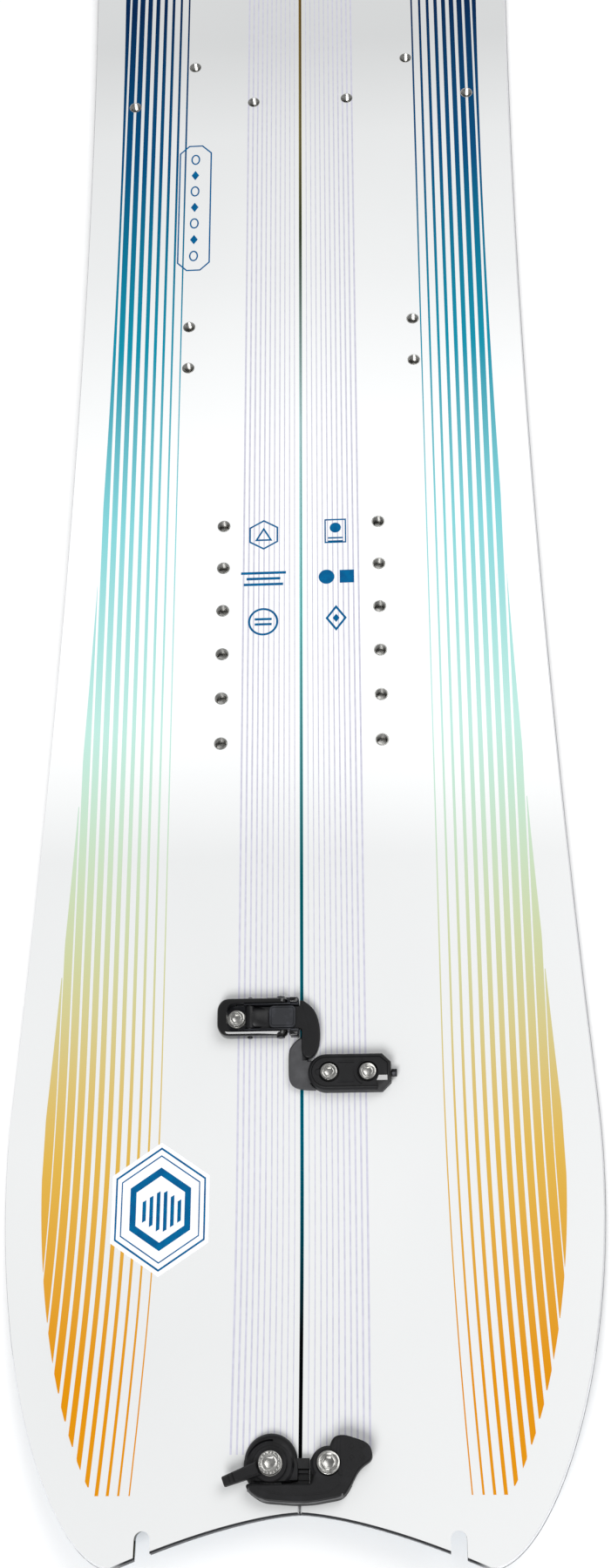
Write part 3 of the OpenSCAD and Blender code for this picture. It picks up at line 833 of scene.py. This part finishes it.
def notch_cutter():
    end = NOTCH_Y - NOTCH_W / 2
    arc = [
        (NOTCH_X + NOTCH_W / 2 * math.cos(a), end + NOTCH_W / 2 * math.sin(a))
        for a in (math.pi * i / 16 for i in range(17))
    ]
    far = -LENGTH / 2 - 20
    points = arc + [(NOTCH_X - NOTCH_W / 2, far), (NOTCH_X + NOTCH_W / 2, far)]
    return slab(points, -5, 80)


def tip_cutter(radius):
    """Holes for the two tip clip inserts, square to the ramps."""
    tail = ramp_place(TAIL_CLIP_Y, TAIL_ANGLE, 0)
    nose = ramp_place(NOSE_CLIP_Y, -NOSE_ANGLE, 0)
    return merge(*[placed(pin(TIP_SCREW_X, 0, radius, -12, 4), m) for m in (tail, nose)])


def threaded_insert():
    """A flanged barrel with a threaded blind bore, its foot at the core's underside."""
    outside = [(0, 2.0), (7, 2.0), (7, 3.0), (4.2, 3.0), (4.2, 6.9), (3.5, 7.0), (3.5, 7.42),
               (3.42, 7.5)]
    thread = [(3.05, 7.5), (2.75, 7.2)]
    for i in range(5):
        top = 7.0 - 0.9 * i
        thread += [(2.95, top - 0.2), (2.95, top - 0.35), (2.55, top - 0.75)]
    return lathe(outside + thread + [(2.5, 2.8), (0, 2.6)], 28)


def half_piece(name, side, title, bm, material, cutters=(), part=None):
    """A piece of one half, drawn as the right one's. Part is the CAD part it stands for."""
    piece = finish_mesh(f"{name}_{title}", mirrored(bm, side), f"{name}_half", material)
    for cutter in cutters:
        carve(piece, mirrored(cutter, side))
    if cutters:
        dress(piece, f"{name}_half", material)
    if part:
        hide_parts(f"{name}_{part}")


def board_half(name, side):
    places = open_inserts() + hidden_inserts(side)

    def plate(part, outer, seam, z0, z1, material, hole=0):
        cutters = [notch_cutter()]
        if hole:
            cutters.append(merge(holes(hole, places), tip_cutter(hole)))
        sheet = slab(loop(outer, seam), z0, z1, True)
        half_piece(name, side, f"{part}_sheet", sheet, material, cutters, part)

    plate("topsheet", 1.45, SEAM + 0.7, LAMINATE_TOP, TOTAL_T, TOPSHEET, INSERT_HOLE)
    plate("top_laminate", 1.7, SEAM + 0.9, CORE_TOP, LAMINATE_TOP, LAMINATE, 4.2)
    plate("base", 2, SEAM + 2, 0, BASE_T, BASE)

    wall = [
        (0.25, 2.0), (0.3, 2.7), (0.62, 4.4), (1.02, 6.3), (1.3, 7.15), (1.44, 7.3),
        (1.5, 6.35), (7.9, 6.35), (7.9, 2.0),
    ]
    half_piece(name, side, "sidewall_band", rim(wall, SEAM, False), SIDEWALL,
               [notch_cutter()], "outer_sidewall")
    steel = [(0.0, 0.2), (0.2, 0.0), (2.0, 0.0), (2.0, 2.0), (0.2, 2.0), (0.0, 1.85)]
    half_piece(name, side, "edge_band", rim(steel, SEAM, True), EDGE_STEEL,
               [notch_cutter()], "steel_edge")
    seam_wall(name, side)
    inserts = []
    for x, y in places:
        inserts.append(placed(threaded_insert(), Matrix.Translation((x, y, 0))))
    for y, angle in ((TAIL_CLIP_Y, TAIL_ANGLE), (NOSE_CLIP_Y, -NOSE_ANGLE)):
        foot = Matrix.Translation((TIP_SCREW_X, 0, -TOTAL_T * math.cos(angle)))
        squeeze = Matrix.Diagonal((1, 1, math.cos(angle), 1))
        inserts.append(placed(threaded_insert(), ramp_place(y, angle, 0) @ foot @ squeeze))
    half_piece(name, side, "threaded_inserts", merge(*inserts), INSERT_STEEL,
               part="inserts")
    for part, material in (("core", WOOD), ("bottom_laminate", LAMINATE),
                           ("nose_spacer", SIDEWALL), ("tail_spacer", SIDEWALL)):
        repaint(f"{name}_{part}", material)
    prints(name, side)


def repaint(node, material):
    nodes[node].data.materials.clear()
    nodes[node].data.materials.append(material)


def seam_wall(name, side):
    """The coloured sidewall along the seam, with the bevel that shows beside the topsheet."""
    profile = [
        (SEAM, 2.0), (SEAM, 6.7), (SEAM + 0.3, 7.25), (SEAM + 0.68, 7.5), (SEAM + 0.68, 6.38),
        (SEAM + 5, 6.38), (SEAM + 5, 2.0),
    ]
    stations = [scoop_y(0) + 1.0] + STATIONS + [LENGTH / 2 - 1.0]
    rings = [[(x, y, z + surface_z(y)) for x, z in profile] for y in stations]
    half_piece(name, side, "seam_strip", sweep(rings, False), SEAM_PLASTIC,
               part="seam_sidewall")


def prints(name, side):
    """The fan of fading stripes and the faint pin lines beside the seam."""
    limit = fan_limit()
    strips = []
    for k in range(FAN_COUNT):
        strips += fan_stripe(k, limit)
    outer = [p for p in open_inserts() if p[0] > FAN_START - 8]
    half_piece(name, side, "fan_print", merge(*strips), FAN_INK,
               [holes(PRINT_HOLE, outer)])

    lines = [line_strip(3.4 + 2.72 * i, 0.45 + 0.05 * i, -733, 733) for i in range(11)]
    inner = [p for p in open_inserts() + hidden_inserts(side) if p[0] < 36]
    half_piece(name, side, "pin_print", merge(*lines), PIN_INK,
               [merge(holes(PRINT_HOLE, inner), tip_cutter(PRINT_HOLE))])


for half_name, half_side in (("right", 1), ("left", -1)):
    board_half(half_name, half_side)

# ---- Printed marks, all generic shapes ----

INK_LOW, INK_HIGH = TOTAL_T - PRINT_SUNK, TOTAL_T + 0.12
QUARTER = math.pi / 2
BADGE, BADGE_TALL = (-66.5, -624.0), 1.18


def ring_outline(points, inset_points):
    """A closed band between an outline and a smaller one with as many points."""
    rings = []
    for (x, y), (u, v) in zip(points, inset_points):
        rings.append([(x, y, INK_LOW), (x, y, INK_HIGH), (u, v, INK_HIGH), (u, v, INK_LOW)])
    return sweep(rings, True)


def ngon(x, y, radius, count, turn=0.0, tall=1.0):
    return [
        (x + radius * math.cos(a), y + radius * tall * math.sin(a))
        for a in (turn + 2 * math.pi * i / count for i in range(count))
    ]


def hoop(x, y, outer, inner, count, turn=0.0, tall=1.0, inner_tall=None):
    """The band between two many-sided outlines round one centre."""
    outside = ngon(x, y, outer, count, turn, tall)
    return ring_outline(outside, ngon(x, y, inner, count, turn, inner_tall or tall))


def block(x, y, w, h):
    return [(x + u * w / 2, y + v * h / 2) for u, v in ((-1, -1), (-1, 1), (1, 1), (1, -1))]


def printed(points):
    return slab(points, INK_LOW, INK_HIGH)


def tall_frame(x, y):
    """A long eight-sided frame with a row of small lozenges."""
    w, h, cut = 19, 89, 5.5
    corners = [
        (-w / 2, h / 2 - cut), (-w / 2 + cut, h / 2), (w / 2 - cut, h / 2), (w / 2, h / 2 - cut),
        (w / 2, -h / 2 + cut), (w / 2 - cut, -h / 2), (-w / 2 + cut, -h / 2),
        (-w / 2, -h / 2 + cut),
    ]
    line = 0.8
    inner = [
        (math.copysign(abs(u) - line * (1 if abs(u) == w / 2 else 0.4), u),
         math.copysign(abs(v) - line * (1 if abs(v) == h / 2 else 0.4), v))
        for u, v in corners
    ]
    outside, inside = ([(x + u, y + v) for u, v in line_points] for line_points in (corners, inner))
    parts = [ring_outline(outside, inside)]
    for i in range(7):
        centre = y + (i - 3) * 11.4
        if i % 2:
            parts.append(printed(ngon(x, centre, 2.2, 4, tall=1.5)))
        else:
            parts.append(hoop(x, centre, 2.6, 1.8, 24, 0.0, 1.4, 1.55))
    return parts


def bars(x, y, widths, gap):
    top = y + gap * (len(widths) - 1) / 2
    return [printed(block(x, top - gap * i, w, gap * 0.42)) for i, w in enumerate(widths)]


def left_marks():
    x = -20
    parts = [hoop(x, -268, 5.4, 3.6, 3, QUARTER), hoop(x, -267, 9.0, 8.0, 6, QUARTER)]
    parts += bars(x, -293.5, (24, 18, 21), 3.4)
    parts += [hoop(x, -319, 8.0, 6.9, 40)]
    parts += bars(x, -319, (9, 9), 3.0)
    return parts


def right_marks():
    x = 18.5
    parts = [hoop(x, -266, 8.2, 7.2, 4, QUARTER / 2, 1.25, 1.27), printed(ngon(x, -264, 3.0, 24))]
    parts += bars(x, -271.2, (8, 8), 2.0)
    parts += [printed(ngon(13.6, -293.5, 4.2, 28)), printed(block(24.4, -293.5, 7.6, 7.6))]
    parts += [hoop(x, -318, 5.6, 4.2, 4, QUARTER, 1.35)]
    parts += [printed(ngon(x, -318, 1.8, 4, QUARTER, 1.35))]
    return parts


def badge(x, y):
    """A pointed six-sided badge with nested outlines and slanted bars, on a pale backing."""
    rims = ((24.5, 23.6), (21.4, 20.8), (16.5, 13.2))
    parts = [hoop(x, y, outer, inner, 6, QUARTER, BADGE_TALL) for outer, inner in rims]
    for i in range(6):
        u = x - 8.4 + 3.3 * i
        half = 11.5 - abs(u - x) * 0.62
        low, high = y - half, y + half
        parts.append(printed([(u, low), (u, high - 3), (u + 1.7, high - 2), (u + 1.7, low + 1)]))
    return parts




def follow_surface(bm):
    for v in bm.verts:
        v.co.z += surface_z(v.co.y)
    return bm


marks = {
    "left_frame_mark": (tall_frame(-61.5, -49.4), "left_half", MARK_INK),
    "left_small_marks": (left_marks(), "left_half", MARK_INK),
    "right_small_marks": (right_marks(), "right_half", MARK_INK),
    "left_badge_print": (badge(*BADGE), "left_half", MARK_INK),
}
for mark_name, (parts, mark_body, ink) in marks.items():
    finish_mesh(mark_name, follow_surface(merge(*parts)), mark_body, ink)
backing = slab(ngon(*BADGE, 26.5, 6, QUARTER, BADGE_TALL), INK_LOW, TOTAL_T + 0.09, True)
finish_mesh("left_badge_backing", backing, "left_half", BACKING)

# ---- Lever clips ----

JOIN, CUT = "UNION", "DIFFERENCE"
PIVOT_Z, PIN_X, RIVET_X, RAIL_R = 4.4, -24.7, -9.8, 3.2
ADJUSTER_Z = 2.25


def casing_outline(margin):
    """The catch casing in plan: a half round, straight sides and a narrower end."""
    r = 8.8 - margin
    arc = [
        (12.1 + r * math.cos(a), -CATCH_OFFSET + r * math.sin(a))
        for a in (math.pi / 2 + math.pi * i / 24 for i in range(25))
    ]
    end, shoulder, nose = 42.8 - margin, 38.6 - margin * 0.6, 4.6 - margin * 0.3
    return arc + [
        (shoulder, -CATCH_OFFSET - r), (end, -CATCH_OFFSET - nose),
        (end, -CATCH_OFFSET + nose), (shoulder, -CATCH_OFFSET + r),
    ]


def ring(x, y, inner, outer, z0, z1):
    profile = [(inner, z0), (outer, z0), (outer, z1 - 0.1), (outer - 0.1, z1), (inner, z1)]
    return moved(lathe(profile, 40, True), x, y)


def face_wedge(k, y0, y1, side):
    """What lies beyond the sloped face x + z = k, on the -X side or the +X side."""
    corners = [(k + 2, -2), (k - 12, 12), (k + 24 * side, 12), (k + 24 * side, -2)]
    return sweep([[(x, y, z) for x, z in corners] for y in (y0, y1)], False)


def slot_cutter(x, y, radius, run, z0, z1):
    arc = [math.pi / 2 + math.pi * i / 14 for i in range(15)]
    left_end = [(x + radius * math.cos(a), y + radius * math.sin(a)) for a in arc]
    right_end = [(x + run - radius * math.cos(a), y - radius * math.sin(a)) for a in arc]
    return slab(left_end + right_end, z0, z1)


def build_lever(name):
    rails = rounded(
        [(-40.6, -5.4), (-37.6, -9.4), (-8.3, -9.4), (-8.3, 9.4), (-37.6, 9.4), (-40.6, 5.4)],
        0, {0: 2.4, 1: 3.2, 4: 3.2, 5: 2.4},
    )
    tiers = [(0.25, 1.2), (0, 1.45), (0, 5.4), (0.2, 6.3), (0.6, 6.95), (1.8, 7.5), (1.95, 7.6)]
    window = rounded([(-35.8, -6.9), (-35.8, 6.9), (20, 6.9), (20, -6.9)], 0, {0: 4.4, 1: 4.4})
    steps = [
        (JOIN, across(RIVET_X, PIVOT_Z, RAIL_R, -9.4, 9.4, 0.8)),
        (CUT, stack(window, [(0, -1), (0, 7.2), (-0.45, 7.61), (-0.45, 9)])),
        (CUT, box(-60, -35, -6.9, 6.9, -1, 3.9)),
        (CUT, across(RIVET_X, PIVOT_Z, 1.25, -20, 20)),
    ]
    shaped(name, "lever", stack(rails, tiers), steps, "lever_black")
    knobs = [across(PIN_X, 3.6, 1.3, y, y + 1.1, 0.3) for y in (-10.1, 9.0)]
    fitting(name, "lever_knobs", "lever", merge(*knobs), "lever_black")
    caps = []
    for s in (-1, 1):
        corners = [(-5.5, s * 7.0), (-5.5, s * 9.4), (-1.4, s * 9.4), (-1.4, s * 7.0)]
        caps.append(pillow(rounded(corners, 0.5), 5.7, 7.2, 0.5))
    fitting(name, "cheek_caps", "clip_base", merge(*caps), "lever_black")


def hook_crown():
    """The arched back of the draw hook between its pin and its pad."""
    rings = []
    ridge = ((-26.2, 6.0), (-24.7, 6.7), (-22.6, 6.9), (-20.4, 6.5), (-18.2, 5.7), (-16.2, 5.0),
             (-14.6, 4.65))
    for x, top in ridge:
        arch = [math.pi * i / 14 for i in range(15)]
        rings.append([(x, 5.5 * math.cos(a), 3 + (top - 3) * math.sin(a) ** 0.7) for a in arch])
    return sweep(rings, False)


def build_draw_hook(name):
    arm = rounded(
        [(-0.6, 8.4), (0.9, 8.4), (4.3, 5.8), (7, 2.6), (8.6, -2.4), (9.2, -8.6), (8.5, -14.8),
         (6.6, -18.6), (4.6, -20), (2.4, -19.9), (0.6, -18.4), (0, -16), (0, -6.4), (-0.6, -5.6)],
        3, {0: 0.6, 12: 0, 13: 0},
    )
    steps = [
        (JOIN, pillow([(PIN_X, -5.6), (PIN_X, 5.6), (0.4, 5.6), (0.4, -5.6)], 1.8, 4.6, 0.5)),
        (JOIN, across(PIN_X, PIVOT_Z, 2.4, -5.6, 5.6, 0.4)),
        (JOIN, hook_crown()),
        (CUT, across(PIN_X, PIVOT_Z, 1.55, -15, 15)),
        (CUT, face_wedge(4.63, -30, -6.55, -1)),
    ]
    shaped(name, "draw_hook", pillow(arm, 1.2, 4.6, 0.6), steps, "hook_black")
    pad = rounded([(-15.3, -5.4), (-15.3, 5.4), (-2.6, 5.4), (-2.6, -5.4)], 2.4)
    tiers = [(0.15, 4.6), (0, 4.75), (0, 6.3), (0.3, 6.6), (0.7, 6.62), (0.8, 6.45), (1.0, 6.45),
             (1.2, 6.9), (1.4, 7.0)]
    shaped(name, "hook_pad", stack(pad, tiers), [], "pad")


def build_catch(name):
    hook = rounded(
        [(3.4, -9.8), (-0.9, -9.8), (-5.1, -13.9), (-6.2, -17.2), (-6.2, -29), (-5.1, -32.4),
         (-2.8, -34.2), (1.4, -35.2), (7, -35.4), (7, -21.2), (3.4, -21.2)],
        3, {0: 0, 8: 0, 9: 0, 10: 0},
    )
    mid = -CATCH_OFFSET
    steps = [
        (CUT, pin(12.1, mid, 9.3, -1, 9, 64)),
        (JOIN, box(0, 40, mid - 4.6, mid + 4.6, 1, 3.8)),
        (JOIN, box(36.8, 40, mid - 4.6, mid + 4.6, 0.5, 3.9)),
        (CUT, face_wedge(4.1, -21.2, -5, 1)),
        (CUT, lengthwise(mid, ADJUSTER_Z, 1.15, 33, 42)),
    ]
    steps += [(CUT, slot_cutter(x, mid, 3.2, 1.7, 0, 6)) for x in CATCH_SCREWS]
    shaped(name, "catch_hook", stack(hook, [(0.25, 1), (0, 1.25), (0, 3.1), (0.75, 3.8)]),
           steps, "hook_grey")
    facet = [(-1.4, 7.5), (-9.5, 3.9), (-9.5, 9), (-1.4, 9)]
    steps = [
        (CUT, stack(casing_outline(1.9), [(0, 6.7), (-0.35, 7.45), (-0.35, 9)])),
        (JOIN, arc_groove(CATCH_SCREWS[1], 6.0, 0.9, 6.4, 7.4, 115, 245, mid)),
        *[(JOIN, ribbon([(17.6, y), (25.2, y)], 0.5, 6.4, 7.1)) for y in (mid + 4.7, mid - 4.7)],
        (CUT, sweep([[(x, mid + y, z) for y, z in facet] for x in (36, 46)], False)),
        (CUT, box(-1, 40.4, mid - 4.9, mid + 4.9, -1, 4.1)),
        (CUT, pin(8.3, mid, 1.7, 6.0, 10)),
        (CUT, lengthwise(mid, ADJUSTER_Z, 1.2, 39, 44)),
    ]
    for x in CATCH_SCREWS:
        walls = [(3.1, -1), (3.1, 5), (4.7, 5), (4.7, 6.3), (5.1, 6.9), (5.1, 10)]
        pocket = lathe([(0, -1)] + walls + [(0, 10)], 48)
        steps.append((CUT, moved(pocket, x, mid)))
    tiers = [(0.25, 0), (0, 0.25), (0, 5.6), (0.5, 6.7), (1.0, 7.3), (1.3, 7.4)]
    shaped(name, "catch_casing", stack(casing_outline(0), tiers), steps, "clip_plastic")
    facet = [(-2.0, 7.26), (-2.0, 7.1), (-4.2, 6.1), (-4.2, 6.28)]
    sides = ((38.0, 0.5), (41.0, 0.0))
    ends = [[(x + y * lean, mid + y, z) for y, z in facet] for x, lean in sides]
    fitting(name, "casing_facet", "catch_casing", sweep(ends, False), "lever_black")


def head_groove(x, y, radius, top):
    """A ring groove in a screw head."""
    inner, outer, low, high = radius * 0.6, radius * 0.72, top - 0.4, top + 1
    profile = [(inner, low), (outer, low), (outer, high), (inner, high)]
    return moved(lathe(profile, 40, True), x, y)


def lever_clip(name):
    build_lever(name)
    build_draw_hook(name)
    build_catch(name)
    screw_grooves = merge(*[head_groove(x, -CATCH_OFFSET, 3.9, 7.4) for x in CATCH_SCREWS])
    soften(name, "clip_base", 0.2, "clip_alloy")
    soften(name, "clip_bolt", 0.2, "screw_steel", head_groove(-BOLT_X, 0, 3.9, 4.1))
    soften(name, "lever_rivets", 0.12, "clip_alloy")
    soften(name, "hook_pin", 0.15, "screw_steel")
    soften(name, "catch_screws", 0.2, "screw_steel", screw_grooves)
    soften(name, "adjuster_screw", 0.15, "clip_alloy")
    washer = ring(-BOLT_X, 0, 3.15, 4.5, 1.5, 1.85)
    fitting(name, "bolt_washer", "clip_base", washer, "screw_steel")


# ---- Tip clips ----


def build_hook_arm(name):
    keel = [(-20, -7.9), (-23.3, -8.6), (-22.4, -11.2), (-16, -15.5), (-2, -16.6), (6, -16.4),
            (19.4, -14), (23, -8)]
    pad = [(25.5, -3.2), (28.3, -0.6), (31.8, 1.6), (31.6, 5.7), (29.4, 9), (19, 12.3),
           (14.6, 11.2), (13, 7)]
    inner = [(12.7, 0), (6.4, -3.9), (5, -8.4), (-14, -8.4)]
    outline = rounded(keel + pad + inner, 3.2, {0: 0, 1: 1.2, 15: 1, 16: 0, 17: 1, 18: 1, 19: 0.6})
    turn = Matrix.Translation((TIP_SCREW_X, 0, 0))
    tiers = [(0.2, 3.3), (0, 3.5), (0, 6.3), (0.15, 6.75), (0.5, 7.15), (1.0, 7.4)]
    lip = [(-22.1, -10.7), (-19.4, -12.5), (-15.8, -14.75), (-2, -15.85), (6, -15.65),
           (19.1, -13.3)]
    low_keel = rounded(keel + [(-14, -8.4)], 3.2, {0: 0, 1: 1.2, 7: 1, 8: 0})
    band = [(-18, -9.6), (-13, -12), (-6, -13), (4, -13.1), (13, -12), (17.6, -9), (19.2, -5)]
    ridge = [(17.4, 10.6), (17.0, 5), (17.2, -1), (18, -5)]
    steps = [
        (JOIN, placed(lathe([(0, 3.3), (7.4, 3.3), (7.4, 6.5), (6.6, 7.4), (0, 7.4)], 56), turn)),
        (CUT, placed(pin(0, 0, 3.03, 3, 10, 40), turn)),
        (CUT, placed(pin(0, 0, 5.4, 6, 10, 48), turn)),
    ]
    shaped(name, "hook_arm", stack(outline, tiers), steps, "clip_plastic")
    lower = fitting(name, "arm_keel", "hook_arm", pillow(low_keel, 0.9, 3.9, 0.3), "clip_plastic")
    carve(lower, placed(placed(pin(0, 0, 8.6, -1, 3.31, 56), turn), PLACES[name]))
    dress(lower, frame_body(f"{name}_hook_arm"), CLIP_PLASTIC)
    ribs = [ribbon(band, 0.5, 7.0, 7.55), ribbon(ridge, 1.1, 6.5, 7.9)]
    grip = [slab(ngon(25 + u * 2.3, 4.6 + v * 2.3, 1.0, 4, tall=1.0), 7.2, 7.6)
            for u, v in ((1, 1), (1, -1), (-1, 1), (-1, -1))]
    fitting(name, "arm_lip", "hook_arm", ribbon(lip, 1.5, 5.8, 7.4, 0.65), "hook_grey")
    fitting(name, "arm_grip", "hook_arm", merge(*ribs, *grip), "clip_plastic")


def build_cam_lever(name):
    tab = rounded([(5.2, -3.0), (21.7, -2.1), (21.7, 2.1), (5.2, 3.0)], 0, {1: 0.7, 2: 0.7})
    spin = Matrix.Translation((-TIP_SCREW_X, 0, 0)) @ Matrix.Rotation(math.radians(200.5), 4, "Z")
    cap = stack(tab, [(0.2, 4.7), (0, 4.9), (0, 7.2), (0.9, 8.2)])
    steps = [
        (JOIN, placed(cap, spin)),
        (CUT, placed(box(16.6, 17.1, -5, 5, 7.5, 9), spin)),
        (CUT, placed(box(18.6, 18.9, -5, 5, 7.8, 9), spin)),
        (CUT, placed(pin(0, 0, 3.03, 3, 10, 40), spin)),
    ]
    disc = lathe([(0, 4.6), (7.2, 4.6), (7.4, 4.8), (7.4, 5.6), (7.0, 6.0), (0, 6.0)], 56)
    shaped(name, "cam_lever", placed(disc, spin), steps, "clip_plastic")


def rim_notches(x, radius, top, count):
    """Small radial cuts near the rim of a screw head."""
    cuts = []
    for i in range(count):
        spin = Matrix.Translation((x, 0, 0)) @ Matrix.Rotation(2 * math.pi * i / count, 4, "Z")
        cut = box(radius * 0.8, radius * 0.93, -0.22, 0.22, top - 0.45, top + 1)
        cuts.append(placed(cut, spin))
    return merge(*cuts)


def tip_clip(name):
    build_hook_arm(name)
    build_cam_lever(name)
    soften(name, "cam_housing", 0.3, "clip_plastic")
    profile = [(0, 0.05), (11.6, 0.05), (11.6, 1.2), (11.1, 2.4), (10.3, 3.3), (8.9, 4.1), (0, 4.1)]
    dome = moved(lathe(profile, 72), -TIP_SCREW_X, 2.2)
    dome = fitting(name, "cam_dome", "cam_housing", dome, "clip_plastic")
    for cutter in (box(-40, 10, -30, -5, -1, 6), pin(-TIP_SCREW_X, 0, 6.6, -1, 9, 48),
                   arc_groove(-TIP_SCREW_X, 10.3, 0.9, 2.4, 6, 84, 165)):
        carve(dome, placed(cutter, PLACES[name]))
    dress(dome, frame_body(f"{name}_cam_housing"), CLIP_PLASTIC)
    soften(name, "arm_base", 0.25, "clip_plastic")
    grooves = head_groove(-TIP_SCREW_X, 0, 5, 8.7)
    marks_in_head = merge(grooves, rim_notches(-TIP_SCREW_X, 5, 8.7, 18))
    soften(name, "cam_screw", 0.25, "screw_steel", marks_in_head)
    soften(name, "arm_screw", 0.25, "screw_steel", head_groove(TIP_SCREW_X, 0, 5, 8.7))
    cheek = rounded([(-8, 9.4), (-3.8, 7.6), (-0.7, 0.4), (-0.7, -6.5), (-8, -6.5)], 0.8)
    skirt = rounded([(-8, -8.2), (-8, 2.8), (4.1, 2.8), (4.1, -8.2)], 0.6)
    plates = [
        pillow(cheek, 0.05, 3.4, 0.5, 0.1), pillow(skirt, 0.05, 0.8, 0.2, 0.1),
        ribbon([(-0.5, -2.6), (3.9, -2.6)], 1.2, 0.4, 2.2),
        ribbon([(-0.5, -5.6), (3.9, -5.6)], 0.8, 0.4, 1.4),
    ]
    fitting(name, "cam_skirt", "cam_housing", merge(*plates), "clip_plastic")
    bridge = rounded([(4.35, -8.2), (4.35, 3.0), (9, 3.0), (9, -8.2)], 0.6)
    fitting(name, "arm_skirt", "arm_base", pillow(bridge, 0.05, 0.8, 0.2, 0.1), "clip_plastic")
    washer = ring(-TIP_SCREW_X, 0, 3.2, 5.25, 6.02, 6.35)
    fitting(name, "cam_washer", "cam_housing", washer, "screw_steel")


for clip in ("rear", "front"):
    lever_clip(clip)
for clip in ("tail", "nose"):
    tip_clip(clip)

# ---- Room, light and camera ----

FLOOR_DROP = 0.0004
CAMERA_AT, CAMERA_AIM = Vector((0.056, -0.7601, 0.8894)), Vector((0.00165, -0.40853, 0))
CAMERA_ROLL, CAMERA_LENS = -9.609, 42.89


def make_floor():
    bm = bmesh.new()
    bmesh.ops.create_grid(bm, x_segments=1, y_segments=1, size=6)
    for v in bm.verts:
        v.co.z = -FLOOR_DROP
    floor = mesh_object("floor", bm)
    shade = Shade("floor_paint", (253, 253, 253), 0.9, Specular_IOR_Level=0.1)
    floor.data.materials.append(shade.material)


def area_light(name, place, target, size, power):
    data = bpy.data.lights.new(name, "AREA")
    data.shape = "DISK"
    data.size = size
    data.energy = power
    lamp = add_object(name, data)
    lamp.location = place
    lamp.rotation_euler = (Vector(target) - Vector(place)).to_track_quat("-Z", "Y").to_euler()


def light_room():
    world = bpy.data.worlds.new("studio")
    bpy.context.scene.world = world
    world.use_nodes = True
    background = world.node_tree.nodes["Background"]
    background.inputs["Color"].default_value = (0.98, 0.99, 1.0, 1)
    background.inputs["Strength"].default_value = 0.36
    area_light("key", (-0.5, -2.3, 2.3), (0, -0.3, 0), 1.5, 66)
    area_light("fill", (1.2, 0.9, 2.6), (0, 0, 0), 2.4, 38)
    bpy.context.scene.view_settings.view_transform = "Standard"


def make_camera():
    data = bpy.data.cameras.new("camera")
    data.lens = CAMERA_LENS
    data.sensor_width = 36
    data.clip_start = 0.02
    camera = add_object("camera", data)
    level = (CAMERA_AIM - CAMERA_AT).to_track_quat("-Z", "Y").to_matrix().to_4x4()
    roll = Matrix.Rotation(math.radians(CAMERA_ROLL), 4, "Z")
    camera.matrix_world = Matrix.Translation(CAMERA_AT) @ level @ roll
    bpy.context.scene.camera = camera


make_floor()
light_room()
make_camera()
